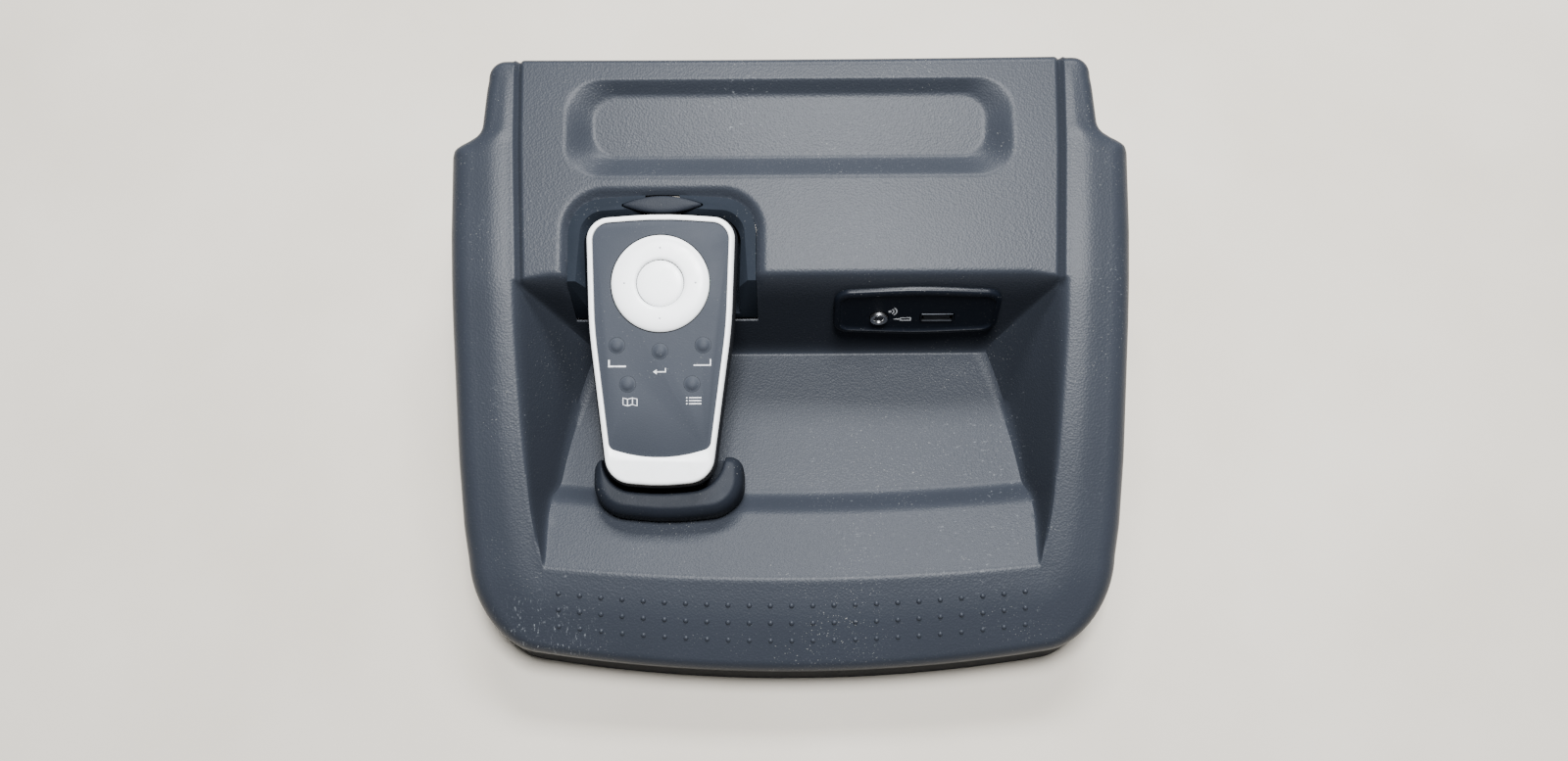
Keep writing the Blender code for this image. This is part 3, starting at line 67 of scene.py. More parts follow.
# ---- tray moulding, millimetres ------------------------------------------------------------------
# RIM, MOUTH, SIDE, BOW and HEM are broken lines: knots along y, and a height, half width or bow at
# each. STEP_TOP, STEP_FOOT, WALL_FOOT and WALL_TOP are (y, z).
WALL = 2.3
RIM_Y = (-120.0, -109.0, -103.5, -77.5, -29.5, 25.5, 125.0)
RIM_Z = (19.0, 23.0, 25.0, 34.0, 46.0, 59.0, 74.2)
MOUTH_Y = (-73.0, -55.0, -27.5, 5.0, 26.5, 74.5, 108.5)
MOUTH_X = (87.1, 91.3, 94.4, 97.2, 98.2, 100.4, 100.9)
SIDE_Y = (-70.0, -58.5, -35.5, 11.5, 44.5, 73.5, 76.6, 78.2, 79.4, 81.0, 83.5, 98.0, 102.5)
SIDE_X = (114.8, 116.7, 118.8, 121.7, 123.3, 123.85, 122.9, 120.2, 116.8, 114.2, 112.7, 111.5, 110.8)
BOW_Y = (-108.0, -77.4, -51.4, -44.5, -25.0, -5.0, 13.8)
BOW = (6.7, 4.5, 4.5, 4.2, 2.4, 0.8, 0.0)
BOW_REACH = 88.0
TOP_ROW_Y = 102.0
TOP_EDGE_Y = 108.6
FRONT_EDGE_Y = -107.95
FRONT_BOW = 6.7
FRONT_HALF_WIDTH = 90.0
CORNER_START_Y = -70.0
CORNER_GUIDES = ((113.2, -86.0), (102.0, -99.6))
RAIL_END = (104.3, 102.5)
RAIL_END_RADIUS = 6.5
TOP_ROLL = 3.5
RAIL_END_ROLL = 4.5
SIDE_ROLL = (8.0, 5.0)
FRONT_ROLL = 3.4
CREASE_Y = -77.4
STEP_TOP = (-51.4, 26.0)
STEP_FOOT = (-44.5, 20.0)
WALL_FOOT = (13.8, 14.5)
WALL_TOP = (25.5, 59.0)
SIDE_WALL_Y = (-47.0, 14.0)
SIDE_WALL_RUN = (0.27, 0.54)
RAIL_CROWN = 0.8
# the top edge's skirt: it starts behind this y and runs between the rails
TOP_SKIRT_Y = 107.0
TOP_SKIRT_HALF_WIDTH = 101.0
TOP_SKIRT_DROP = 9.0
GROOVE_DEPTH = 1.75
GROOVE_HALF_WIDTH = 1.55
GROOVE_START_Y = 22.0
GROOVE_FADE = 3.5
FLOOR_BLEND = 7.0
STEP_BLEND = 1.8
SHELF_BLEND = 1.2
SIDE_WALL_BLEND = 4.0
LIP_BLEND_Y = (-72.0, -60.0)
LIP_BLEND = (0.7, 3.5)
WALL_TOP_BLEND_Y = (14.0, 20.0)
WALL_TOP_BLEND = (0.0, 8.0)
RECESS_Y = 81.5
# half width, half depth and corner radius
RECESS_EDGE = (81.6, 18.6, 12.5)
RECESS_FLOOR = (71.8, 11.2, 9.0)
RECESS_FLOOR_RISE = 2.7
RECESS_DEPTH = 4.4
RECESS_LEAN = -0.11
PANEL_SLOPE = atan2(RIM_Z[-1] - RIM_Z[-2], RIM_Y[-1] - RIM_Y[-2])
HEM_Y = (-90.0, -60.0, 0.0, 60.0, 109.0)
HEM_Z = (0.13, 8.0, 30.0, 46.0, 56.0)
DOT_ROWS = (-86.4, -92.2, -98.0)
DOT_PITCH = 7.42
DOT_COUNT = 23
DOT_RADIUS = 0.95
DOT_HEIGHT = 0.6
LEG_X = 66.0
LEG_HALF_WIDTH = 12.0
LEG_Y = (76.0, 92.0)
LEG_TOP = 60.5
LEG_WALL = 2.4
TAB_HALF_WIDTH = 6.0
FRONT_TAB_X = 58.0
RIB_Y = (-20.0, 10.0)
SCUFF_PLACE = (-88.0, -99.0, 20.0)
SCUFF_REACH = 26.0
# Where the tray's finish darkens the skirt and the front lip's foot with painted shade: heights (z) and a place
# along y.
SKIRT_TOP_Z = (9.0, 14.5)
LIP_FOOT_Z = (18.5, 21.5)
LIP_FOOT_Y = (-100.5, -98.5)

# ---- handset and cradle, in the handset's frame --------------------------------------------------
ROCKER_Y = 23.55
ROCKER_PIVOT_Z = -1.9
ROCKER_RADIUS = 17.4
CENTRE_RADIUS = 8.25
KEY_RADIUS = 2.8
KEY_NAMES = ("left", "back", "right", "map", "menu")
DIRECTION_DOT_RADIUS = 12.6
CASE_BACK = -21.0
CASE_SCREWS = ((-14.0, 42.0), (14.0, 42.0), (-9.0, -38.5), (9.0, -38.5))
DOOR_HALF_WIDTH = 14.6
DOOR_Y = (-22.0, 28.0)
DOOR_TRAVEL = 5.0
CELL_LENGTH = 44.5
CELL_X = 5.7
CELL_START_Y = -19.5
CELL_Z = -11.8
ARCH_HALF_WIDTH = 33.9
ARCH_TOP = 57.0
ARCH_RADIUS = 13.0
ARCH_BOTTOM = -60.0
ARCH_ROLL = 3.5
ARCH_SINK = 2.3
ARCH_START_Y = 21.0
ARCH_FADE = 4.0
DISH_FLOOR = -22.0
DISH_THICKNESS = 2.2
EAR = (38.0, 36.0)
LATCH_Y = 53.1
# half length and half height
LATCH_PAD = (14.8, 3.2)

# cup, in the tray's frame
CUP_X = -44.0
CUP_HALF_WIDTH = 27.0
CUP_BACK_Y = -33.0
CUP_FRONT_Y = -56.0
CUP_TOP_Z = 37.5
CUP_SCREW_X = (-56.0, -32.0)
CUP_SCREW_Y = -37.5

# ---- socket plate, in its own frame on the back wall ----------------------------------------------
CONNECTOR_END = (0.0, -1.0, -26.0)
PLATE = (30.4, 13.6)
OPENING = (50.0, 19.0)
JACK = (-13.7, -3.7)
USB = (7.8, -3.7)
USB_SIZE = (12.2, 4.6)
SOCKET_SCREW_X = 27.7
SOCKET_MARK_Z = (1.70, 1.79)


# ---- places of the groups --------------------------------------------------------------------------
def axes_matrix(across, up, out, origin):
    """A place with its own three axes, in metres."""
    rotation = Matrix((across, up, out)).transposed().to_4x4()
    return Matrix.Translation(origin) @ rotation


def handset_place():
    """The handset's frame: x across, y up its length, z out of its face."""
    out = Vector(JOINTS["handset_lift_off"]["axis"]).normalized()
    across = Vector((1.0, 0.0, 0.0))
    up = out.cross(across)
    pivot = Vector(JOINTS["rocker_up_down"]["pos_m"])
    origin = pivot - up * ROCKER_Y * MM - out * ROCKER_PIVOT_Z * MM
    return axes_matrix(across, up, out, origin)


def socket_place():
    """The socket plate's frame: x across, y up the wall, z out of it."""
    mount = MOUNTS["harness_connector"]
    out = -Vector(mount["axis"]).normalized()
    across = Vector((1.0, 0.0, 0.0))
    up = out.cross(across)
    end = Vector(mount["pos_m"])
    origin = end - (across * CONNECTOR_END[0] + up * CONNECTOR_END[1] + out * CONNECTOR_END[2]) * MM
    return axes_matrix(across, up, out, origin)


HANDSET = handset_place()
SOCKET = socket_place()


def key_place(node):
    """Middle of a key in the handset's frame, in millimetres."""
    low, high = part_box(node)
    local = HANDSET.inverted() @ ((low + high) / 2)
    return local.x / MM, local.y / MM


# ---- meshes ----------------------------------------------------------------------------------------
def shaded(mesh, sharp=40.0):
    """Smooth shading, with edges sharper than an angle kept crisp."""
    mesh.shade_smooth()
    mesh.set_sharp_from_angle(angle=radians(sharp))
    return mesh


def mesh_of(name, points, faces, sharp=40.0):
    """A mesh from points in millimetres."""
    mesh = bpy.data.meshes.new(name)
    mesh.from_pydata((np.asarray(points, float) * MM).tolist(), [], faces)
    mesh.update()
    return shaded(mesh, sharp)


def linked(name, data):
    """A new object for some data, put in the scene."""
    item = bpy.data.objects.new(name, data)
    bpy.context.scene.collection.objects.link(item)
    return item


def modified(data, modifiers=(), sharp=40.0):
    """A mesh from some data, with modifiers applied; each is a kind and its settings."""
    item = linked("scratch", data)
    for kind, settings in modifiers:
        modifier = item.modifiers.new(kind, kind)
        for setting, value in settings.items():
            setattr(modifier, setting, value)
    bpy.context.view_layer.update()
    shown = item.evaluated_get(bpy.context.evaluated_depsgraph_get())
    mesh = bpy.data.meshes.new_from_object(shown)
    bpy.data.objects.remove(item, do_unlink=True)
    return shaded(mesh, sharp)


def welded(mesh):
    """Points closer than two micrometres made one, with all faces pointing out."""
    bm = bmesh.new()
    bm.from_mesh(mesh)
    bmesh.ops.remove_doubles(bm, verts=bm.verts, dist=0.002 * MM)
    bmesh.ops.recalc_face_normals(bm, faces=bm.faces)
    bm.to_mesh(mesh)
    bm.free()
    return mesh


def combined(meshes, sharp=40.0):
    """Several meshes as one, each still its own closed surface."""
    bm = bmesh.new()
    for mesh in meshes:
        bm.from_mesh(mesh)
    joined = bpy.data.meshes.new("combined")
    bm.to_mesh(joined)
    bm.free()
    return shaded(joined, sharp)


def moved(mesh, matrix):
    mesh.transform(matrix)
    return mesh


def shifted(mesh, x=0.0, y=0.0, z=0.0):
    return moved(mesh, Matrix.Translation((x * MM, y * MM, z * MM)))


def carved(mesh, cutters, operation="DIFFERENCE", sharp=40.0):
    """A mesh with others cut out of it, or joined to it, by exact Booleans."""
    tools = [linked("cutter", cutter) for cutter in cutters]
    booleans = [("BOOLEAN", {"operation": operation, "object": tool, "solver": "EXACT"}) for tool in tools]
    result = modified(mesh, booleans, sharp)
    for tool in tools:
        bpy.data.objects.remove(tool, do_unlink=True)
    return result


def bevelled(mesh, width, segments=3, angle=30.0):
    """Rounded edges wherever two faces meet at more than an angle."""
    settings = {"width": width * MM, "segments": segments, "limit_method": "ANGLE",
                "angle_limit": radians(angle), "harden_normals": False}
    return modified(welded(mesh), [("BEVEL", settings)])


def remeshed(mesh, voxel, rounds):
    """A soft-edged copy: an even mesh of small squares, smoothed a few times."""
    return modified(mesh, [("REMESH", {"mode": "VOXEL", "voxel_size": voxel * MM}),
                           ("SMOOTH", {"factor": 0.5, "iterations": rounds})], 180.0)


def box(low, high):
    """A plain box between two corners, to cut with or to round."""
    bm = bmesh.new()
    bmesh.ops.create_cube(bm, size=1.0)
    low = Vector(low) * MM
    high = Vector(high) * MM
    place = Matrix.Translation((low + high) / 2) @ Matrix.Diagonal((*(high - low), 1.0))
    bmesh.ops.transform(bm, matrix=place, verts=bm.verts)
    mesh = bpy.data.meshes.new("box")
    bm.to_mesh(mesh)
    bm.free()
    return mesh


def soft_box(low, high, radius=0.4, segments=2):
    return bevelled(box(low, high), radius, segments)


def quads(first, second):
    """Faces between two chains of points; where a point repeats, a face has three corners."""
    return [tuple(dict.fromkeys(corners)) for corners in zip(first, second, second[1:], first[1:])]


def turned(profile, segments=48, closed=False, sharp=40.0):
    """A profile of (radius, height) turned about Z. An open profile runs from top to bottom."""
    points = []
    rings = []
    for radius, height in profile:
        start = len(points)
        if radius == 0.0:
            rings.append([start] * (segments + 1))
            points.append((0.0, 0.0, height))
        else:
            rings.append([*range(start, start + segments), start])
            points += [(x, y, height) for x, y in circle(radius, segments=segments)]
    if closed:
        rings.append(rings[0])
    faces = []
    for upper, lower in zip(rings, rings[1:]):
        faces += quads(upper, lower)
    return welded(mesh_of("turned", points, faces, sharp))


def cylinder(radius, bottom, top, centre=(0.0, 0.0), segments=32):
    return shifted(turned([(0.0, top), (radius, top), (radius, bottom), (0.0, bottom)], segments), *centre)


def plate(outlines, bottom, top):
    """A flat plate: the first outline is its edge and the others are holes through it."""
    curve = bpy.data.curves.new("plate", "CURVE")
    curve.dimensions = "2D"
    curve.fill_mode = "BOTH"
    curve.extrude = (top - bottom) / 2 * MM
    for outline in outlines:
        spline = curve.splines.new("POLY")
        spline.points.add(len(outline) - 1)
        for point, (x, y) in zip(spline.points, outline):
            point.co = (x * MM, y * MM, 0.0, 1.0)
        spline.use_cyclic_u = True
    return shifted(welded(modified(curve)), z=(top + bottom) / 2)


def loft(rings, sharp=40.0, open_top=False):
    """Skin a stack of rings of equally many points, closed at both ends unless its top is open."""
    count = len(rings[0])
    points = [point for ring in rings for point in ring]
    faces = []
    for level in range(len(rings) - 1):
        start = level * count
        for k in range(count):
            after = (k + 1) % count
            faces.append((start + k, start + after, start + count + after, start + count + k))
    faces.append(list(range(count))[::-1])
    if not open_top:
        faces.append(list(range(len(points) - count, len(points))))
    return welded(mesh_of("loft", points, faces, sharp))


def stacked(outline, levels, open_top=False):
    """Skin an outline that is grown by a distance at each height; levels are (height, distance)."""
    rings = [[(x, y, z) for x, y in grown(outline, growth)] for z, growth in levels]
    return loft(rings, open_top=open_top)


def wire(points, radius, resolution=3):
    """A round wire along points in millimetres."""
    curve = bpy.data.curves.new("wire", "CURVE")
    curve.dimensions = "3D"
    curve.bevel_depth = radius * MM
    curve.bevel_resolution = resolution
    curve.use_fill_caps = True
    spline = curve.splines.new("POLY")
    spline.points.add(len(points) - 1)
    for point, place in zip(spline.points, points):
        point.co = (*(Vector(place) * MM), 1.0)
    return welded(modified(curve))


def thickened(mesh, thickness):
    """An open skin given a wall on its inner side."""
    settings = {"thickness": thickness * MM, "offset": -1.0, "use_even_offset": True}
    return modified(mesh, [("SOLIDIFY", settings)])


def softened(node, width, segments=2):
    """A CAD node's form with its flat faces merged and its edges rounded."""
    source = frame["nodes"][node]
    mesh = source.data.copy()
    mesh.transform(source.matrix_world)
    bm = bmesh.new()
    bm.from_mesh(mesh)
    bmesh.ops.remove_doubles(bm, verts=bm.verts, dist=0.001 * MM)
    bmesh.ops.dissolve_limit(bm, angle_limit=radians(3.0), verts=bm.verts, edges=bm.edges)
    bm.to_mesh(mesh)
    bm.free()
    return bevelled(mesh, width, segments)


def screw(shank, length, head, height):
    """A pan-head screw pointing up: its head lies below z = 0 and has a cross recess."""
    pitch = 0.9
    profile = [(0.0, length), (shank * 0.35, length - 0.1), (shank * 0.8, length - 1.0)]
    z = length - 1.0
    while z - pitch > 0.4:
        profile += [(shank, z - pitch * 0.25), (shank, z - pitch * 0.4), (shank * 0.8, z - pitch * 0.75)]
        z -= pitch
    profile += [(shank * 0.8, 0.0), (head - 0.15, 0.0), (head, -0.15), (head, -height * 0.5),
                (head * 0.94, -height * 0.72), (head * 0.8, -height * 0.9), (head * 0.6, -height),
                (0.0, -height)]
    slot = head * 0.16
    bars = [box((-head * 0.55, -slot, -height - 1.0), (head * 0.55, slot, -height * 0.45)),
            box((-slot, -head * 0.55, -height - 1.0), (slot, head * 0.55, -height * 0.45))]
    return carved(turned(profile, 32), bars)


# ---- outlines --------------------------------------------------------------------------------------
def rounded_polygon(corners, step=radians(5.0)):
    """Points round a polygon whose corners are (x, y, radius), with arcs of even steps."""
    points = []
    count = len(corners)
    for i, (x, y, radius) in enumerate(corners):
        here = Vector((x, y))
        before = (Vector(corners[i - 1][:2]) - here).normalized()
        after = (Vector(corners[(i + 1) % count][:2]) - here).normalized()
        half = before.angle(after) / 2
        turn = pi - 2 * half
        centre = here + (before + after).normalized() * (radius / sin(half))
        start = here + before * (radius * cos(half) / sin(half)) - centre
        steps = max(3, round(turn / step))
        side = 1.0 if before.cross(after) < 0 else -1.0
        for k in range(steps + 1):
            angle = side * turn * k / steps
            points.append((centre.x + start.x * cos(angle) - start.y * sin(angle),
                           centre.y + start.x * sin(angle) + start.y * cos(angle)))
    return points


def grown(outline, distance):
    """Move each point of an anticlockwise outline out along its normal."""
    result = []
    count = len(outline)
    for i, (x, y) in enumerate(outline):
        x0, y0 = outline[i - 1]
        x1, y1 = outline[(i + 1) % count]
        length = hypot(x1 - x0, y1 - y0)
        result.append((x + distance * (y1 - y0) / length, y - distance * (x1 - x0) / length))
    return result


def circle(radius, centre=(0.0, 0.0), segments=48):
    return [(centre[0] + radius * cos(2 * pi * i / segments),
             centre[1] + radius * sin(2 * pi * i / segments)) for i in range(segments)]


def rectangle(width, height, centre=(0.0, 0.0), radius=0.5):
    """A rounded rectangle, anticlockwise."""
    x = width / 2
    y = height / 2
    corners = [(centre[0] + sx * x, centre[1] + sy * y, radius)
               for sx, sy in ((1, -1), (1, 1), (-1, 1), (-1, -1))]
    return rounded_polygon(corners, step=radians(15.0))


def mirrored_corners(right_side):
    """Corners of a symmetric outline from those at x >= 0, listed upwards from the bottom."""
    return right_side + [(-x, y, radius) for x, y, radius in reversed(right_side) if x > 0]


def handset_outline():
    """The silver frame's outer edge: wide at the top, tapering to a round chin."""
    return rounded_polygon(mirrored_corners([
        (0.0, -48.2, 80.0), (18.2, -46.2, 9.5), (25.2, 8.0, 150.0), (26.6, 46.9, 8.0), (0.0, 48.9, 150.0)]))


def face_outline():
    """The frame's inner edge, with the curved top of the chin."""
    return rounded_polygon(mirrored_corners([
        (0.0, -40.2, 50.0), (17.7, -34.8, 3.0), (23.2, 8.0, 150.0), (24.5, 45.0, 6.3), (0.0, 46.8, 150.0)]))


def arch_outline(bottom, base_radius=4.5):
    """The mouth of the cradle, which is cut off towards the bin."""
    return rounded_polygon(mirrored_corners([
        (ARCH_HALF_WIDTH, bottom, base_radius), (ARCH_HALF_WIDTH, ARCH_TOP - 2.0, ARCH_RADIUS),
        (0.0, ARCH_TOP + 0.4, 120.0)]))


# ---- pieces ----------------------------------------------------------------------------------------
def piece(name, mesh, body, slot, place=None, nodes=(), material=None):
    """Put a finished mesh in the scene: its material, its slot, the body it rides on, and the CAD
    nodes that it stands for."""
    item = linked(name, mesh)
    mesh.name = name
    mesh.materials.clear()
    mesh.materials.append(material or FINISH[slot])
    if place is not None:
        item.matrix_world = place
    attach(item, body)
    if nodes:
        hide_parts(*nodes)


def both_sides(name):
    """The names of a left and a right node."""
    return [name + "_" + label for _, label in SIDES]


def soft_pieces(nodes, width, slot, body="tray"):
    """CAD forms with rounded edges, one piece for each node."""
    for node in nodes:
        piece(node + "_form", softened(node, width), body, slot, nodes=[node])


def screw_pieces(nodes, spots, height, shape, body="tray", place=None):
    """A screw for each node, at its spot across its group and at a height along the group's z."""
    for node, (x, y) in zip(nodes, spots):
        piece(node + "_form", shifted(screw(*shape), x, y, height), body, "plated_steel", place, [node])


# ---- materials -------------------------------------------------------------------------------------
def linear(red, green, blue):
    """A colour given in display values from 0 to 255."""
    return tuple((value / 255.0) ** 2.2 for value in (red, green, blue)) + (1.0,)


class Finish:
    """One node material, with short ways to add noise, mixes and bumps to it."""

    def __init__(self, name, colour, roughness, metallic=0.0):
        self.material = bpy.data.materials.new(name)
        self.material.use_nodes = True
        self.tree = self.material.node_tree
        self.shader = self.tree.nodes["Principled BSDF"]
        self.shader.inputs["Base Color"].default_value = colour
        self.shader.inputs["Roughness"].default_value = roughness
        self.shader.inputs["Metallic"].default_value = metallic
        self.place = self.tree.nodes.new("ShaderNodeTexCoord").outputs["Object"]
        self.normal = None

    def put(self, socket, value):
        if hasattr(value, "is_output"):
            self.tree.links.new(value, socket)
        else:
            socket.default_value = value

    def node(self, kind, output, inputs, **settings):
        """One output of a new shader node, whose inputs are (socket, value) pairs."""
        node = self.tree.nodes.new("ShaderNode" + kind)
        for setting, value in settings.items():
            setattr(node, setting, value)
        for socket, value in inputs:
            self.put(node.inputs[socket], value)
        return node.outputs[output]

    def scaled(self, scale):
        """Coordinates stretched by a factor along each axis."""
        return self.node("Mapping", "Vector", [("Scale", scale), ("Vector", self.place)])

    def along(self, axis):
        """The coordinate along X, Y or Z, in metres."""
        return self.node("SeparateXYZ", axis, [(0, self.place)])

    def noise(self, scale, detail=2.0, rough=0.5, vector=None):
        return self.node("TexNoise", "Fac", [("Vector", vector or self.place), ("Scale", scale),
                                             ("Detail", detail), ("Roughness", rough)])

    def cells(self, scale, feature="F1"):
        return self.node("TexVoronoi", "Distance", [("Vector", self.place), ("Scale", scale)],
                         feature=feature)

    def ramp(self, value, low, high, start=0.0, end=1.0):
        """Value from low to high mapped to start to end, and held outside."""
        return self.node("MapRange", "Result", [("Value", value), ("From Min", low), ("From Max", high),
                                                ("To Min", start), ("To Max", end)])

    def maths(self, operation, first, second):
        return self.node("Math", 0, [(0, first), (1, second)], operation=operation)

    def mix(self, share, first, second):
        return self.node("Mix", 2, [(0, share), (6, first), (7, second)], data_type="RGBA")

    def over(self, under, colour, strength, *masks):
        """A colour laid over a shade, as strongly as the product of some masks says."""
        share = masks[0]
        for mask in masks[1:]:
            share = self.maths("MULTIPLY", share, mask)
        return self.mix(self.maths("MULTIPLY", share, strength), under, colour)

    def near(self, centre, radius):
        """One at a point in the tray's frame, falling to zero at a radius."""
        distance = self.node("VectorMath", "Value", [(0, self.place), (1, Vector(centre) * MM)],
                             operation="DISTANCE")
        return self.ramp(distance, 0.0, radius * MM, 1.0, 0.0)

    def colour(self, value):
        self.put(self.shader.inputs["Base Color"], value)

    def roughness(self, value):
        self.put(self.shader.inputs["Roughness"], value)

    def bump(self, height, depth):
        """Raise the surface by a height map times a depth in millimetres."""
        inputs = [("Distance", depth * MM), ("Height", height)]
        if self.normal is not None:
            inputs.append(("Normal", self.normal))
        self.normal = self.node("Bump", "Normal", inputs)
        self.put(self.shader.inputs["Normal"], self.normal)


def moulded(name, colour, roughness, grain=1300.0, depth=0.03, variation=0.10, dust=0.0, shine=0.5,
            uneven=0.05):
    """Grained moulded plastic: fine cells, faint cloudiness and, if wanted, light dust."""
    finish = Finish(name, colour, roughness)
    finish.shader.inputs["Specular IOR Level"].default_value = shine
    cloud = finish.noise(28.0, 4.0, 0.55)
    fine = finish.noise(700.0, 2.0, 0.6)
    darker = tuple(c * (1 - variation) for c in colour[:3]) + (1.0,)
    lighter = tuple(min(1.0, c * (1 + variation)) for c in colour[:3]) + (1.0,)
    shade = finish.mix(finish.ramp(cloud, 0.3, 0.7), darker, lighter)
    shade = finish.mix(finish.ramp(fine, 0.35, 0.75, 0.0, 0.35), shade, darker)
    if dust > 0.0:
        specks = finish.ramp(finish.noise(1500.0, 1.0, 0.5), 0.70, 0.78)
        patch = finish.ramp(finish.noise(45.0, 3.0, 0.6), 0.45, 0.75)
        shade = finish.over(shade, linear(190, 188, 180), dust, specks, patch)
    finish.colour(shade)
    patchy = finish.noise(60.0, 3.0, 0.6)
    finish.roughness(finish.ramp(patchy, 0.3, 0.7, roughness - uneven, roughness + uneven))
    finish.bump(finish.cells(grain), depth)
    finish.bump(finish.noise(grain * 0.6, 3.0, 0.6), depth * 0.55)
    return finish


def tray_finish():
    """Slate-grey grain with dust, pale scuffs by the front left corner and faint handling marks, with painted
    shade that darkens the low skirt and the front lip's foot, which are also made dull."""
    finish = moulded("tray_grain", linear(44, 47, 53), 0.40, 1300.0, 0.05, 0.05, 0.0, 0.15, 0.015)
    shade = finish.shader.inputs["Base Color"].links[0].from_socket
    specks = finish.ramp(finish.noise(1900.0, 1.0, 0.4), 0.70, 0.76)
    patches = finish.ramp(finish.noise(30.0, 4.0, 0.65), 0.50, 0.68, 0.10, 1.0)
    shade = finish.over(shade, linear(170, 169, 162), 0.42, specks, patches)
    scratches = finish.ramp(finish.noise(1.0, 4.0, 0.7, finish.scaled((1500.0, 420.0, 600.0))), 0.60, 0.70)
    corner = finish.near(SCUFF_PLACE, SCUFF_REACH)
    shade = finish.over(shade, linear(186, 190, 194), 0.55, scratches, corner)
    rubbed = finish.ramp(finish.noise(1.0, 4.0, 0.7, finish.scaled((500.0, 900.0, 500.0))), 0.62, 0.72)
    handled = finish.ramp(finish.noise(18.0, 2.0, 0.5), 0.55, 0.72)
    shade = finish.over(shade, linear(165, 168, 170), 0.3, rubbed, handled)
    # Painted shade: the skirt low down and the foot of the front lip are darkened, as if in the tray's own shadow
    # by the floor; the same mask also makes them dull.
    low, foot, front = [finish.ramp(finish.along(axis), start * MM, end * MM, 1.0, 0.0) for axis, (start, end)
                        in (("Z", SKIRT_TOP_Z), ("Z", LIP_FOOT_Z), ("Y", LIP_FOOT_Y))]
    skirt = finish.maths("MAXIMUM", low, finish.maths("MULTIPLY", foot, front))
    finish.colour(finish.over(shade, linear(14, 15, 19), 0.85, skirt))
    finish.roughness(finish.ramp(skirt, 0.0, 1.0, 0.40, 0.95))
    return finish.material


def steel_finish():
    finish = Finish("plated_steel", linear(190, 190, 192), 0.28, 1.0)
    streaks = finish.noise(1.0, 3.0, 0.6, finish.scaled((400.0, 4000.0, 4000.0)))
    finish.roughness(finish.ramp(streaks, 0.3, 0.7, 0.20, 0.42))
    cloud = finish.ramp(finish.noise(300.0), 0.3, 0.7)
    finish.colour(finish.mix(cloud, linear(172, 172, 175), linear(205, 205, 206)))
    finish.bump(streaks, 0.01)
    return finish.material


def board_finish():
    """Green solder mask with paler tracks."""
    finish = Finish("circuit_board", linear(22, 92, 54), 0.35)
    tracks = finish.ramp(finish.cells(260.0, "DISTANCE_TO_EDGE"), 0.04, 0.08, 1.0, 0.0)
    finish.colour(finish.mix(tracks, linear(18, 84, 48), linear(60, 140, 88)))
    finish.bump(tracks, 0.03)
    return finish.material


def cell_finish():
    """Printed foil wrap: a brassy band at one end and dark film along the rest."""
    finish = Finish("cell_wrap", linear(150, 120, 60), 0.3, 0.4)
    band = finish.ramp(finish.along("Y"), 0.010, 0.0101)
    dark = finish.mix(finish.noise(200.0), linear(28, 28, 30), linear(40, 40, 42))
    finish.colour(finish.mix(band, dark, linear(176, 138, 66)))
    return finish.material


def gloss_finish():
    """Dark smooth plastic with a low shine, fine dust and faint wipe marks."""
    finish = Finish("gloss_black", linear(24, 27, 33), 0.30)
    finish.shader.inputs["Specular IOR Level"].default_value = 0.16
    specks = finish.ramp(finish.noise(1700.0, 1.0, 0.5), 0.72, 0.78)
    finish.colour(finish.over(linear(24, 27, 33), linear(120, 120, 118), 0.5, specks))
    wiped = finish.noise(1.0, 3.0, 0.6, finish.scaled((60.0, 500.0, 500.0)))
    finish.roughness(finish.ramp(wiped, 0.4, 0.75, 0.28, 0.40))
    finish.bump(finish.noise(90.0, 2.0), 0.02)
    return finish.material


def satin_finish(name, colour, shade, roughness, metallic=0.0):
    """Painted or pearl plastic: almost even, with a faint orange-peel and darker handling marks."""
    finish = Finish(name, colour, roughness, metallic)
    marks = finish.ramp(finish.noise(120.0, 5.0, 0.65), 0.55, 0.80)
    finish.colour(finish.mix(marks, colour, shade))
    finish.roughness(finish.ramp(finish.noise(300.0, 3.0), 0.3, 0.7, roughness - 0.05, roughness + 0.07))
    finish.bump(finish.noise(1600.0, 2.0), 0.004)
    return finish.material


def print_finish():
    finish = Finish("printed_white", linear(205, 206, 208), 0.5)
    worn = finish.ramp(finish.noise(900.0, 3.0, 0.6), 0.45, 0.75)
    finish.colour(finish.mix(worn, linear(214, 215, 217), linear(150, 152, 156)))
    return finish.material


def floor_finish():
    finish = Finish("pale_floor", linear(186, 178, 165), 0.8)
    cloud = finish.ramp(finish.noise(7.0, 4.0, 0.6), 0.3, 0.7)
    finish.colour(finish.mix(cloud, linear(181, 173, 160), linear(191, 184, 173)))
    finish.bump(finish.noise(500.0, 2.0), 0.02)
    return finish.material


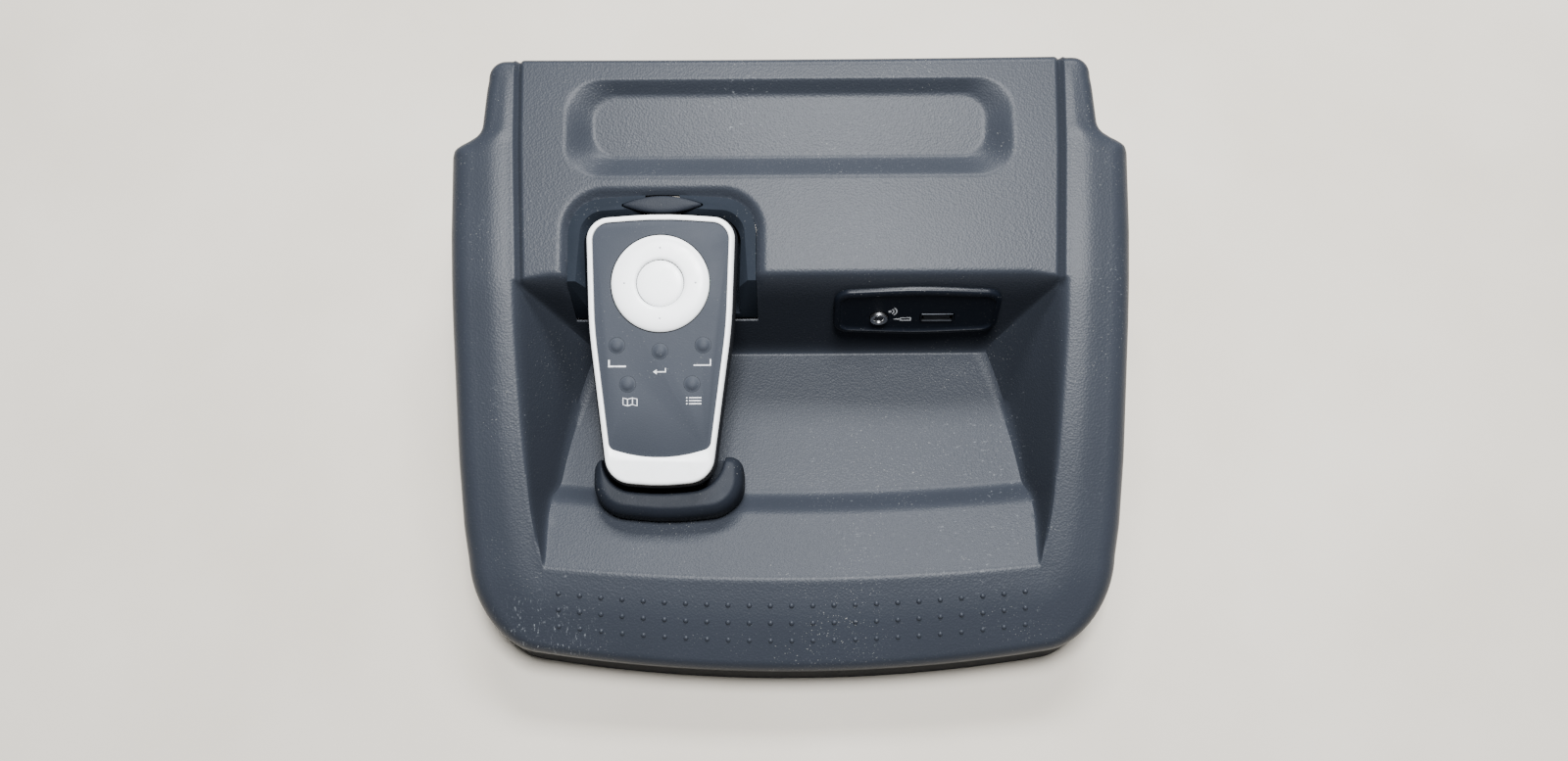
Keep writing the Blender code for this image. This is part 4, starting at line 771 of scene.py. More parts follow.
FINISH = {
    "tray_plastic": tray_finish(),
    "soft_plastic": moulded("soft_black", linear(33, 36, 42), 0.54, 1500.0, 0.03, 0.15, 0.45, 0.12).material,
    "case_plastic": moulded("case_black", linear(22, 23, 26), 0.45, 1800.0, 0.02, 0.12, 0.2).material,
    "face_rubber": moulded("face_grey", linear(54, 57, 63), 0.55, 2200.0, 0.02, 0.05, 0.4, 0.10).material,
    "silver_paint": satin_finish("silver_paint", linear(243, 244, 245), linear(226, 226, 224), 0.32),
    "white_plastic": satin_finish("pearl_white", linear(250, 251, 252), linear(242, 243, 243), 0.30),
    "gloss_black": gloss_finish(),
    "inner_plastic": moulded("inner_plastic", linear(34, 34, 35), 0.55, 900.0, 0.02, 0.15).material,
    "circuit_board": board_finish(),
    "plated_steel": steel_finish(),
    "cell_wrap": cell_finish(),
    "dark_lens": satin_finish("dark_lens", linear(30, 6, 9), linear(44, 10, 13), 0.12),
    "print": print_finish(),
    # Painted shade: a darkened copy of the plated steel for the port's shell and contacts, standing in for the
    # shade inside the slot.
    "shade_darkened_steel": satin_finish("shade_darkened_steel", linear(66, 68, 72), linear(52, 54, 58), 0.42, 1.0),
    "dish": moulded("dish_black", linear(36, 40, 46), 0.60, 1500.0, 0.03, 0.15, 0.45, 0.02).material,
    "dot": satin_finish("dot_grey", linear(150, 152, 156), linear(120, 122, 126), 0.4),
    "tongue": moulded("tongue_plastic", linear(62, 63, 65), 0.5, 1500.0, 0.01, 0.05).material,
}


# ---- tray surface ----------------------------------------------------------------------------------
def eased(at, knots, values, reach):
    """A broken line whose corners are eased over a short reach."""
    at = np.asarray(at, float)
    taps = ((-1.0, 1), (-0.5, 2), (0.0, 2), (0.5, 2), (1.0, 1))
    return sum(weight / 8 * np.interp(at + offset * reach, knots, values) for offset, weight in taps)


def soft_min(first, second, blend):
    """The smaller of two heights, with the corner between them rounded."""
    near = np.clip(blend - np.abs(first - second), 0.0, None) / blend
    return np.minimum(first, second) - near * near * blend / 4


def soft_max(first, second, blend):
    return -soft_min(-first, -second, blend)


def rim(y):
    """Height of the panel, the rails and the lip."""
    return eased(y, RIM_Y, RIM_Z, 5.0)


def mouth(y):
    """Half width of the bin's mouth, which carries on up the panel as the groove."""
    return eased(y, MOUTH_Y, MOUTH_X, 6.0)


def side(y):
    """Half width of the tray's outline."""
    return eased(y, SIDE_Y, SIDE_X, 1.2)


def front_edge(x):
    return FRONT_EDGE_Y + FRONT_BOW * (x / BOW_REACH) ** 2


def bowed(x, level):
    """Where a row that crosses the tray's middle at a level lies at a place across."""
    return level + np.interp(level, BOW_Y, BOW) * (x / BOW_REACH) ** 2


def unbowed(x, y):
    """Where a point's row crosses the tray's middle: rows curve back towards the sides."""
    bend = (x / BOW_REACH) ** 2
    level = y
    for _ in range(4):
        level = y - np.interp(level, BOW_Y, BOW) * bend
    return level


def rounded_box_distance(u, v, half_u, half_v, radius):
    """Distance from a rounded rectangle's edge, negative inside it."""
    a = np.abs(u) - half_u + radius
    b = np.abs(v) - half_v + radius
    outside = np.hypot(np.maximum(a, 0.0), np.maximum(b, 0.0))
    return outside + np.minimum(np.maximum(a, b), 0.0) - radius


def line_height(at, first, second):
    """Height at a place on the straight line through two (y, z) points."""
    slope = (second[1] - first[1]) / (second[0] - first[0])
    return first[1] + (at - first[0]) * slope


def bin_height(x, y):
    """Height of the floor, the back wall, the step and the shelf, without the side walls."""
    level = unbowed(x, y)
    floor = line_height(level, STEP_FOOT, WALL_FOOT)
    back = line_height(level, WALL_FOOT, WALL_TOP)
    step = line_height(level, STEP_FOOT, STEP_TOP)
    shelf = line_height(level, STEP_TOP, (CREASE_Y, rim(bowed(x, CREASE_Y))))
    front = soft_min(step, shelf, SHELF_BLEND)
    return soft_max(soft_max(floor, back, FLOOR_BLEND), front, STEP_BLEND)


def recess_depth(x, y):
    """How far the long recess lies below the panel."""
    v = (y - RECESS_Y) / cos(PANEL_SLOPE)
    inside = -rounded_box_distance(x, v, *RECESS_EDGE)
    beyond = np.maximum(rounded_box_distance(x, v - RECESS_FLOOR_RISE, *RECESS_FLOOR), 0.0)
    share = np.clip(inside / np.maximum(inside + beyond, 0.001), 0.0, 1.0)
    eased_share = share * share * (3 - 2 * share)
    depth = RECESS_DEPTH + RECESS_LEAN * np.clip(v - RECESS_FLOOR_RISE, -RECESS_FLOOR[1], RECESS_FLOOR[1])
    return depth * (0.8 * share + 0.2 * eased_share)


def groove_depth(x, y):
    """The V between the panel and each rail."""
    across = np.abs(np.abs(x) - mouth(y) + GROOVE_HALF_WIDTH) / GROOVE_HALF_WIDTH
    notch = soft_max(1.0 - across, np.zeros_like(across), 0.25)
    notch = np.where(across > 1.3, 0.0, notch)
    return GROOVE_DEPTH * notch * np.clip((y - GROOVE_START_Y) / GROOVE_FADE, 0.0, 1.0)


def arch_drop(x, y, z):
    """How far the panel's edge rolls down into the cradle's mouth."""
    points = np.stack([x, y, z, np.full_like(x, 1000.0)]) / 1000.0
    local = np.tensordot(np.array(HANDSET.inverted()), points, axes=1) * 1000.0
    middle = (ARCH_TOP + ARCH_BOTTOM) / 2
    distance = rounded_box_distance(local[0], local[1] - middle, ARCH_HALF_WIDTH, ARCH_TOP - middle,
                                    ARCH_RADIUS)
    share = np.clip(1.0 - distance / ARCH_ROLL, 0.0, 1.0)
    return ARCH_SINK * share ** 2 * np.clip((y - ARCH_START_Y) / ARCH_FADE, 0.0, 1.0)


def top_height(x, y, plain):
    """Height of the tray's upper face inside its rolled-over edge."""
    level = unbowed(x, y)
    wall = rim(y) - (mouth(y) - np.abs(x)) / np.interp(y, SIDE_WALL_Y, SIDE_WALL_RUN)
    inside = soft_max(bin_height(x, y), wall, SIDE_WALL_BLEND)
    middle = np.clip((mouth(y) - np.abs(x) - 2.0) / 9.0, 0.0, 1.0)
    blend = np.interp(level, LIP_BLEND_Y, LIP_BLEND)
    blend = blend + np.interp(level, WALL_TOP_BLEND_Y, WALL_TOP_BLEND) * middle
    z = soft_min(rim(y), inside, blend) - recess_depth(x, y)
    z = z - arch_drop(x, y, z)
    return z if plain else z - groove_depth(x, y)


def spread(*stops):
    """Values between stops, given as (start, step) pairs and a last value; a step is a length."""
    values = []
    for (start, step), following in zip(stops[:-1], stops[1:]):
        end = following[0] if isinstance(following, tuple) else following
        count = max(1, round(abs(end - start) / step))
        values += [start + (end - start) * k / count for k in range(count)]
    return np.array(values + [stops[-1]])


ROW_LEVELS = spread((TOP_ROW_Y, 0.8), (100.5, 0.5), (95.5, 1.4), (76.0, 0.9), (61.0, 1.0), (27.5, 0.5),
                    (22.5, 0.65), (16.5, 0.5), (11.0, 3.0), (-40.0, 0.6), (-55.0, 2.0), (-74.0, 0.5),
                    CREASE_Y)
COLUMNS = spread((-95.0, 2.5), (-85.0, 0.95), (-62.0, 2.6), (-30.0, 1.0), (-6.0, 4.0), (60.0, 1.0),
                 (84.0, 2.7), 95.0)
WALL_SHARES = np.array([1.12, 1.0, 0.88, 0.75, 0.62, 0.56, 0.5, 0.44, 0.38, 0.25, 0.14, 0.07, 0.0])
BAND_SHARES = np.array([0.03, 0.07, 0.13, 0.22, 0.40, 0.60, 0.80])
ROLL_TURNS = np.array([1.0, 0.86, 0.72, 0.58, 0.44, 0.30, 0.15, 0.0])
SKIRT_SHARES = np.array([0.3, 0.65, 1.0])


def patch_plan():
    """Plan points of the panel and bin, a row for each level and a column for each place across."""
    plan = []
    for level in ROW_LEVELS:
        bow = float(np.interp(level, BOW_Y, BOW))
        half = float(mouth(level + bow))
        drop = float(rim(level + bow)) - float(bin_height(np.array(half), np.array(level + bow)))
        wall = max(2 * GROOVE_HALF_WIDTH, drop * float(np.interp(level + bow, SIDE_WALL_Y, SIDE_WALL_RUN)))
        inner = (half - 1.25 * wall) / -COLUMNS[0]
        edge = half - wall * WALL_SHARES
        across = np.concatenate([-edge[::-1], COLUMNS * inner, edge])
        plan.append(np.stack([across, level + bow * (across / BOW_REACH) ** 2], axis=1))
    return np.array(plan)


def mirrored(points, side_sign):
    """Plan points as they run on the right, or their mirror image in the reverse order."""
    return points if side_sign > 0 else [(-x, y) for x, y in reversed(points)]


def rail_end(side_sign):
    """Plan points round the rounded end of a rail, and the short stretch that leads to it."""
    x, y = RAIL_END
    arc = [(x + RAIL_END_RADIUS * cos(radians(a)), y + RAIL_END_RADIUS * sin(radians(a)))
           for a in np.linspace(90.0, 8.0, 11)]
    return mirrored([(x - 2.5, y + RAIL_END_RADIUS), (x - 1.4, y + RAIL_END_RADIUS)] + arc, side_sign)


def front_corner(side_sign):
    """Plan points round the tray's front corner, without its two ends."""
    knots = [(float(side(CORNER_START_Y)), CORNER_START_Y), *CORNER_GUIDES,
             (FRONT_HALF_WIDTH, front_edge(FRONT_HALF_WIDTH))]
    curve = interpolate_bezier(*[Vector((x, y, 0.0)) for x, y in knots], 26)
    return mirrored([(point.x, point.y) for point in curve[1:-1]], side_sign)


def stations(plan):
    """The way round the tray: for each station the patch's boundary point, the outline point and
    the radius of the roll-over between them."""
    rows, columns = plan.shape[:2]
    found = []

    def add(row, column, outer, roll):
        found.append((row * columns + column, plan[row, column], outer, roll))

    for column in range(columns):
        x = plan[0, column, 0]
        add(0, column, (x, TOP_EDGE_Y + 0.4 * (x / MOUTH_X[-1]) ** 2), TOP_ROLL)
    for outer in rail_end(1):
        add(0, columns - 1, outer, RAIL_END_ROLL)
    side_rows = []
    for row in range(1, rows):
        y = plan[row, columns - 1, 1]
        y_out = float(np.interp(y, (plan[-1, -1, 1], -50.0, 120.0), (CORNER_START_Y, -50.0, 120.0)))
        roll = float(np.interp(y, (72.0, 84.0), SIDE_ROLL))
        side_rows.append((row, (float(side(y_out)), y_out), roll))
    for row, outer, roll in side_rows:
        add(row, columns - 1, outer, roll)
    corner = front_corner(1)
    change = SIDE_ROLL[0] - FRONT_ROLL
    for k, outer in enumerate(corner, 1):
        add(rows - 1, columns - 1, outer, SIDE_ROLL[0] - change * k / len(corner))
    for column in reversed(range(columns)):
        x = plan[-1, column, 0] * FRONT_HALF_WIDTH / plan[-1, -1, 0]
        add(rows - 1, column, (x, front_edge(x)), FRONT_ROLL)
    for k, outer in enumerate(front_corner(-1), 1):
        add(rows - 1, 0, outer, FRONT_ROLL + change * k / len(corner))
    for row, (x, y), roll in reversed(side_rows):
        add(row, 0, (-x, y), roll)
    for outer in rail_end(-1):
        add(0, 0, outer, RAIL_END_ROLL)
    return found


def outline_distances(points, line):
    """Distance of each plan point from the closed outline."""
    spans = np.roll(line, -1, axis=0) - line
    squares = np.maximum((spans * spans).sum(axis=1), 1e-9)
    best = np.full(len(points), 1e9)
    for begin, span, square in zip(line, spans, squares):
        offset = points - begin
        share = np.clip(offset @ span / square, 0.0, 1.0)
        best = np.minimum(best, np.hypot(*(offset - share[:, None] * span).T))
    return best


def skirt_points(outer, inward, high, plain):
    """Points down the skirt, from the roll-over's foot at a height to the hem."""
    x, y = outer.T
    crest = rim(y)
    along_top = (y > TOP_SKIRT_Y) & (np.abs(x) < TOP_SKIRT_HALF_WIDTH)
    low = np.where(along_top, crest - TOP_SKIRT_DROP, np.minimum(np.interp(y, HEM_Y, HEM_Z), crest - 10.0))
    flare = np.interp(y, (-95.0, -85.0), (1.0, 0.0))
    notch = np.where(along_top & (not plain), groove_depth(x, y), 0.0)
    rows = []
    for share in SKIRT_SHARES:
        back = notch - flare * share
        height = high + (low - high) * share
        rows.append(np.stack([x + inward[:, 0] * back, y + inward[:, 1] * back, height], axis=1))
    return np.stack(rows, axis=1)


def band_points(marks, plain):
    """Cross-sections of the rail, lip and skirt, one for each station, from the patch to the hem."""
    inner = np.array([mark[1] for mark in marks])
    outer = np.array([mark[2] for mark in marks])
    width = np.hypot(*(inner - outer).T)
    roll = np.minimum(np.array([mark[3] for mark in marks]), width * 0.9)
    inward = (inner - outer) / width[:, None]
    flat_places = width[:, None] - (width - roll)[:, None] * BAND_SHARES
    roll_places = roll[:, None] * (1 - np.cos(pi / 2 * ROLL_TURNS))
    places = np.concatenate([flat_places, roll_places], axis=1)
    spots = outer[:, None, :] + inward[:, None, :] * places[:, :, None]
    x, y = np.moveaxis(spots, 2, 0)
    reach = outline_distances(spots.reshape(-1, 2), outer).reshape(x.shape)
    reach = np.minimum(reach, roll[:, None])
    drop = roll[:, None] - np.sqrt(np.maximum(0.0, roll[:, None] ** 2 - (roll[:, None] - reach) ** 2))
    share = np.clip((width[:, None] - places) / (width - roll)[:, None], 0.0, 1.0)
    crown = RAIL_CROWN * np.clip((width - 9.0) / 6.0, 0.0, 1.0)[:, None] * np.sin(pi * share) ** 2
    z = top_height(x, y, plain) + crown - drop
    top = np.stack([x, y, z], axis=2)
    return np.concatenate([top, skirt_points(outer, inward, z[:, -1], plain)], axis=1)


def tray_faces(rows, columns, heads, depth):
    """Quads of the patch and of the band round it, wound to face up and out."""
    patch = np.arange(rows * columns).reshape(rows, columns).tolist()
    band = [[head] + [rows * columns + s * depth + k for k in range(depth)] for s, head in enumerate(heads)]
    faces = []
    for first, second in [*zip(patch, patch[1:]), *zip(band, band[1:] + band[:1])]:
        faces += quads(first, second)
    return faces


def point_normals(points, faces):
    """Unit normals at the points of a surface."""
    mesh = mesh_of("normals", points, faces)
    normals = np.zeros(len(points) * 3)
    mesh.vertices.foreach_get("normal", normals)
    bpy.data.meshes.remove(mesh)
    return normals.reshape(-1, 3)


def neighbour_middle(values, edges, degree):
    """Middle of each point's neighbours; every edge is listed both ways."""
    total = np.zeros_like(values)
    np.add.at(total, edges[:, 0], values[edges[:, 1]])
    return total / degree[:, None]


def underside(points, normals, faces, hem, hem_z):
    """The lower skin: an offset whose folds under tight convex edges are pulled straight."""
    edges = np.array([pair for face in faces for pair in zip(face, face[1:] + face[:1])])
    edges = np.concatenate([edges, edges[:, ::-1]])
    degree = np.bincount(edges[:, 0], minlength=len(points)).astype(float)
    squares = ((points[edges[:, 0]] - points[edges[:, 1]]) ** 2).sum(axis=1)
    reach = np.bincount(edges[:, 0], squares, len(points))
    bend = ((neighbour_middle(points, edges, degree) - points) * normals).sum(axis=1) * 4 * degree / reach
    for _ in range(3):
        bend = 0.5 * bend + 0.5 * neighbour_middle(bend[:, None], edges, degree)[:, 0]
    pull = np.clip((0.12 - bend) / 0.08, 0.0, 1.0)
    pull[hem] = 0.0
    lower = points - normals * WALL
    lower[hem, 2] = hem_z
    for _ in range(40):
        lower = lower + 0.5 * pull[:, None] * (neighbour_middle(lower, edges, degree) - lower)
    return lower


def tray_mesh():
    """The moulding's skin: a detailed upper face, a plain lower face and the hem between them."""
    plan = patch_plan()
    rows, columns = plan.shape[:2]
    marks = stations(plan)
    heads = [mark[0] for mark in marks]
    depth = len(BAND_SHARES) + len(ROLL_TURNS) + len(SKIRT_SHARES)
    faces = tray_faces(rows, columns, heads, depth)
    layers = []
    for plain in (False, True):
        x = plan[:, :, 0]
        y = plan[:, :, 1]
        patch = np.stack([x, y, top_height(x, y, plain)], axis=2).reshape(-1, 3)
        layers.append(np.concatenate([patch, band_points(marks, plain).reshape(-1, 3)]))
    upper, plain_upper = layers
    normals = point_normals(plain_upper, faces)
    hem = (rows * columns + np.arange(len(marks)) * depth + depth - 1).tolist()
    lower = underside(plain_upper, normals, faces, hem, upper[hem, 2])
    count = len(upper)
    under = [tuple(corner + count for corner in reversed(face)) for face in faces]
    strip = [(a, b, b + count, a + count) for a, b in zip(hem, hem[1:] + hem[:1])]
    points = np.concatenate([upper, lower])
    return welded(mesh_of("tray_skin", points, faces + under + strip, 50.0))


def tray_cutters():
    """The cradle's mouth, the socket window and the small screw holes."""
    mouth_cutter = plate([arch_outline(8.8)], DISH_FLOOR - DISH_THICKNESS - 1.6, 20.0)
    window = box((-OPENING[0] / 2, -OPENING[1] / 2, -8.0), (OPENING[0] / 2, OPENING[1] / 2, 6.0))
    cutters = [moved(mouth_cutter, HANDSET), moved(window, SOCKET)]
    for sign, _ in SIDES:
        cutters.append(moved(cylinder(2.9, -8.0, 6.0, (sign * SOCKET_SCREW_X, 0.0), 24), SOCKET))
    for x in CUP_SCREW_X:
        cutters.append(cylinder(1.6, 10.0, 24.0, (x, CUP_SCREW_Y), 20))
    return cutters


def make_tray():
    mesh = carved(tray_mesh(), tray_cutters(), sharp=32.0)
    piece("tray_skin", mesh, "tray", "tray_plastic", nodes=["tray_shell"])


def make_lip_dots():
    """Three rows of small domes that follow the lip's bow."""
    domes = []
    profile = [(0.0, DOT_HEIGHT), (0.4, 0.9 * DOT_HEIGHT), (0.7, 0.6 * DOT_HEIGHT), (DOT_RADIUS, 0.0),
               (DOT_RADIUS, -0.6), (0.0, -0.6)]
    for level in DOT_ROWS:
        for k in range(DOT_COUNT):
            x = (k - (DOT_COUNT - 1) / 2) * DOT_PITCH
            y = float(bowed(x, level))
            z = float(top_height(np.array([x]), np.array([y]), True)[0]) + lip_crown(x, y)
            slope = float(rim(y + 1.0) - rim(y - 1.0)) / 2
            place = Matrix.Translation(Vector((x, y, z)) * MM) @ Matrix.Rotation(atan2(slope, 1.0), 4, "X")
            domes.append(moved(turned(profile, 12), place))
    piece("lip_dots", combined(domes, 60.0), "tray", "tray_plastic")


def lip_crown(x, y):
    """Rise of the lip's crown over its straight section at a plan point."""
    inner = float(bowed(x, CREASE_Y))
    width = inner - front_edge(x)
    share = np.clip((inner - y) / (width - 5.0), 0.0, 1.0)
    return RAIL_CROWN * float(np.sin(pi * share) ** 2)


def leg(x):
    """A hollow leg, open at its foot."""
    start, end = LEG_Y
    solid = bevelled(box((x - LEG_HALF_WIDTH, start, 0.0), (x + LEG_HALF_WIDTH, end, LEG_TOP)), 0.8, 3)
    inner = LEG_HALF_WIDTH - LEG_WALL
    bore = box((x - inner, start + LEG_WALL, -1.0), (x + inner, end - LEG_WALL, LEG_TOP - 3.5))
    return carved(solid, [bore])


def rib(sign, y):
    """A rib from the bin's wall to the tray's outer side."""
    inner = sign * (float(mouth(y)) - 2.0)
    outer = sign * (float(side(y)) - 1.4)
    top = float(rim(y)) - 9.0
    return soft_box((min(inner, outer), y - 1.0, top - 7.0), (max(inner, outer), y + 1.0, top), 0.4)


def make_underside():
    """Legs, clip tabs, ribs and screw bosses under the tray."""
    boss = [(1.3, -5.6), (3.6, -5.6), (3.6, DISH_FLOOR + 0.7), (3.2, DISH_FLOOR + 0.3),
            (1.3, DISH_FLOOR + 0.3)]
    half = TAB_HALF_WIDTH
    solids = []
    for sign, _ in SIDES:
        x = sign * LEG_X
        solids.append(leg(x))
        solids.append(soft_box((x - half, 91.0, 30.8), (x + half, 103.0, 33.2), 0.5))
        solids.append(soft_box((x - 1.0, 91.5, 20.0), (x + 1.0, 95.0, 31.5), 0.4))
        x = sign * FRONT_TAB_X
        solids.append(soft_box((x - half, -93.2, 9.0), (x + half, -90.8, 27.0), 0.5))
        solids += [rib(sign, y) for y in RIB_Y]
        solids.append(moved(shifted(turned(boss, 32, True), sign * EAR[0], EAR[1]), HANDSET))
    piece("tray_underside", combined(solids), "tray", "tray_plastic")


def make_spring_clips():
    nodes = ["spring_clip_%s_%s" % (where, label) for _, label in SIDES for where in ("rear", "front")]
    soft_pieces(nodes, 0.12, "plated_steel")


# ---- cradle ----------------------------------------------------------------------------------------
def panel_place(y):
    """A place on the panel, with its z along the panel's normal."""
    return Matrix.Translation(Vector((0.0, y, float(rim(y)))) * MM) @ Matrix.Rotation(PANEL_SLOPE, 4, "X")


def lens_outline(share=1.0, segments=16):
    """The latch pad's outline at a share of its size: two shallow arcs that meet at blunt points."""
    length = LATCH_PAD[0] * share
    height = LATCH_PAD[1] * share
    radius = (length ** 2 + height ** 2) / (2 * height)
    reach = atan2(length, radius - height) * 0.94
    points = []
    for sign in (-1, 1):
        for k in range(segments + 1):
            angle = reach * (2 * k / segments - 1)
            rise = radius * cos(angle) - radius + height
            points.append((-sign * radius * sin(angle), LATCH_Y + sign * rise))
    return points


def dish_ears(bottom):
    """The dish's two screw ears."""
    ears = []
    for sign, _ in SIDES:
        reach = sign * (EAR[0] + 5.0)
        near = sign * (ARCH_HALF_WIDTH - 2.0)
        low = (min(reach, near), EAR[1] - 6.0, bottom)
        ears.append(box(low, (max(reach, near), EAR[1] + 6.0, DISH_FLOOR)))
    return ears


def make_dish():
    """The dish behind the handset: its wall slopes in below the flat line round its top."""
    bottom = DISH_FLOOR - DISH_THICKNESS
    lip = box((-33.0, 7.1, bottom - 2.4), (33.0, 13.0, bottom + 1.0))
    solid = carved(plate([grown(arch_outline(6.9), -0.15)], bottom, 6.0), [lip], "UNION")
    hollow = stacked(arch_outline(-20.0), ((-9.4, -8.0), (-5.6, -4.7), (-2.6, -1.9), (12.0, -1.8)))
    bed = plate([grown(handset_outline(), 1.9)], DISH_FLOOR, 12.0)
    stem_slot = box((-6.2, 48.0, DISH_FLOOR), (6.2, 60.0, 12.0))
    pad_hole = plate([lens_outline(1.05)], -9.4, 12.0)
    inverse = HANDSET.inverted()
    over_panel = moved(box((-200.0, -100.0, -0.8), (200.0, 200.0, 100.0)), inverse @ panel_place(40.0))
    before_wall = moved(box((-200.0, -100.0, -0.15), (200.0, 100.0, 100.0)), inverse @ SOCKET)
    solid = carved(solid, [hollow, bed, stem_slot, pad_hole, over_panel, before_wall])
    holes = [cylinder(1.6, bottom - 1.0, DISH_FLOOR + 1.0, (sign * EAR[0], EAR[1])) for sign, _ in SIDES]
    solid = carved(carved(solid, dish_ears(bottom), "UNION"), holes)
    piece("dish_form", bevelled(solid, 0.45, 3, 35.0), "tray", "soft_plastic", HANDSET, ["cradle_dish"],
          FINISH["dish"])


def make_latch():
    """The release pad, gently domed, on its stem, and the spring under it."""
    levels = ((-7.0, 0.97), (-6.8, 1.0), (-5.3, 1.0), (-4.95, 0.97), (-4.65, 0.9), (-4.45, 0.78),
              (-4.33, 0.55), (-4.3, 0.3))
    pad = loft([[(x, y, z) for x, y in lens_outline(share)] for z, share in levels], 50.0)
    stem = soft_box((-5.6, 53.0, -15.0), (5.6, 55.4, -6.0), 0.4)
    piece("latch_form", combined([pad, stem], 50.0), "latch", "soft_plastic", HANDSET, ["latch_button"])
    points = coil_points(5, 1.5, 1.5, DISH_FLOOR + 0.6, -17.4)
    coil = shifted(wire(points, 0.25), 0.0, 54.3)
    piece("latch_spring_form", coil, "tray", "plated_steel", HANDSET, ["latch_spring"])


def coil_points(turns, first, last, low, high, steps=24):
    """Points up a coil whose radius runs from first to last."""
    points = []
    for i in range(turns * steps + 1):
        angle = 2 * pi * i / steps
        share = i / (turns * steps)
        radius = first + (last - first) * share
        points.append((radius * cos(angle), radius * sin(angle), low + (high - low) * share))
    return points


def make_cup():
    """The soft pocket round the handset's chin, moulded over the bin's floor and step."""
    x = CUP_HALF_WIDTH
    corners = [(x, CUP_BACK_Y, 5.0), (-x, CUP_BACK_Y, 5.0), (-x, CUP_FRONT_Y + 2.5, 13.0),
               (0.0, CUP_FRONT_Y - 0.6, 90.0), (x, CUP_FRONT_Y + 2.5, 13.0)]
    outer = [(CUP_X + a, b) for a, b in rounded_polygon(corners)]
    levels = ((12.0, 0.0), (31.0, 0.0), (33.0, -0.2), (34.5, -0.5), (35.7, -1.1), (36.6, -1.8), (37.2, -2.5),
              (CUP_TOP_Z + 0.3, -3.2))
    body = stacked(outer, levels)
    hollow = moved(plate([grown(handset_outline(), 2.9)], CASE_BACK - 0.35, 30.0), HANDSET)
    body = carved(body, [hollow, below_bin(CUP_X - 32.0, CUP_X + 32.0, -62.0, -20.0, 0.5)])
    body = remeshed(body, 0.5, 9)
    body = carved(body, [cylinder(1.3, 10.0, 23.6, (a, CUP_SCREW_Y), 24) for a in CUP_SCREW_X])
    piece("cup_form", body, "tray", "soft_plastic", nodes=["cradle_cup"])


def below_bin(x0, x1, y0, y1, clearance):
    """Everything under the bin's surface within a rectangle, raised by a clearance."""
    rings = []
    for x in np.linspace(x0, x1, 25):
        y = np.linspace(y1, y0, 57)
        z = top_height(np.full_like(y, x), y, True) + clearance
        rings.append([(x, b, c) for b, c in zip(y, z)] + [(x, y0, 2.0), (x, y1, 2.0)])
    return loft(rings)


def make_cradle_screws():
    ears = [(sign * EAR[0], EAR[1]) for sign, _ in SIDES]
    screw_pieces(both_sides("dish_screw"), ears, DISH_FLOOR - DISH_THICKNESS - 0.3, (1.0, 10.0, 2.8, 2.0),
                 place=HANDSET)
    feet = [(x, CUP_SCREW_Y) for x in CUP_SCREW_X]
    screw_pieces(both_sides("cup_screw"), feet, 16.2, (1.0, 6.4, 2.8, 2.0))


# ---- socket plate ----------------------------------------------------------------------------------
def make_bezel():
    """The plate with its raised rim, its openings and its screw bosses."""
    x, y = PLATE
    outline = rounded_polygon(mirrored_corners([
        (0.0, -y - 0.4, 150.0), (x, -y + 1.6, 6.0), (x, y - 1.6, 6.0), (0.0, y + 0.4, 150.0)]))
    raised = stacked(outline, ((0.3, -0.15), (0.45, 0.0), (1.5, 0.0), (1.95, -0.12), (2.3, -0.4),
                               (2.52, -0.8), (2.6, -1.25)))
    field = stacked(outline, ((1.75, -3.6), (1.85, -2.9), (2.2, -2.3), (3.4, -1.6)))
    port = plate([rectangle(USB_SIZE[0] + 0.6, USB_SIZE[1] + 0.6, USB, 0.6)], -3.0, 5.0)
    jack = turned([(0.0, 5.0), (4.4, 5.0), (4.4, 2.1), (3.5, 1.5), (3.5, -3.0), (0.0, -3.0)], 48)
    bezel = carved(raised, [field, port, shifted(jack, *JACK)], sharp=30.0)
    bosses = []
    for sign, _ in SIDES:
        boss = turned([(1.3, 0.9), (2.3, 0.9), (2.3, -2.3), (2.1, -2.5), (1.3, -2.5)], 32, True)
        bosses.append(shifted(boss, sign * SOCKET_SCREW_X, 0.0))
    piece("bezel_form", combined([bezel] + bosses, 30.0), "tray", "gloss_black", SOCKET, ["socket_bezel"])


def make_jack():
    """The jack's sleeve with its rounded lip, and the spring contact inside it."""
    sleeve = turned([(1.8, 2.3), (2.1, 2.75), (2.5, 2.9), (2.9, 2.88), (3.12, 2.75), (3.2, 2.5), (3.2, -13.0),
                     (1.8, -13.0)], 64, True)
    piece("jack_form", shifted(sleeve, *JACK), "tray", "plated_steel", SOCKET, ["jack_sleeve"])
    contact = soft_box((-1.5, -0.25, -12.0), (-1.1, 0.25, -1.0), 0.08)
    piece("jack_contact", shifted(contact, *JACK), "tray", "plated_steel", SOCKET)


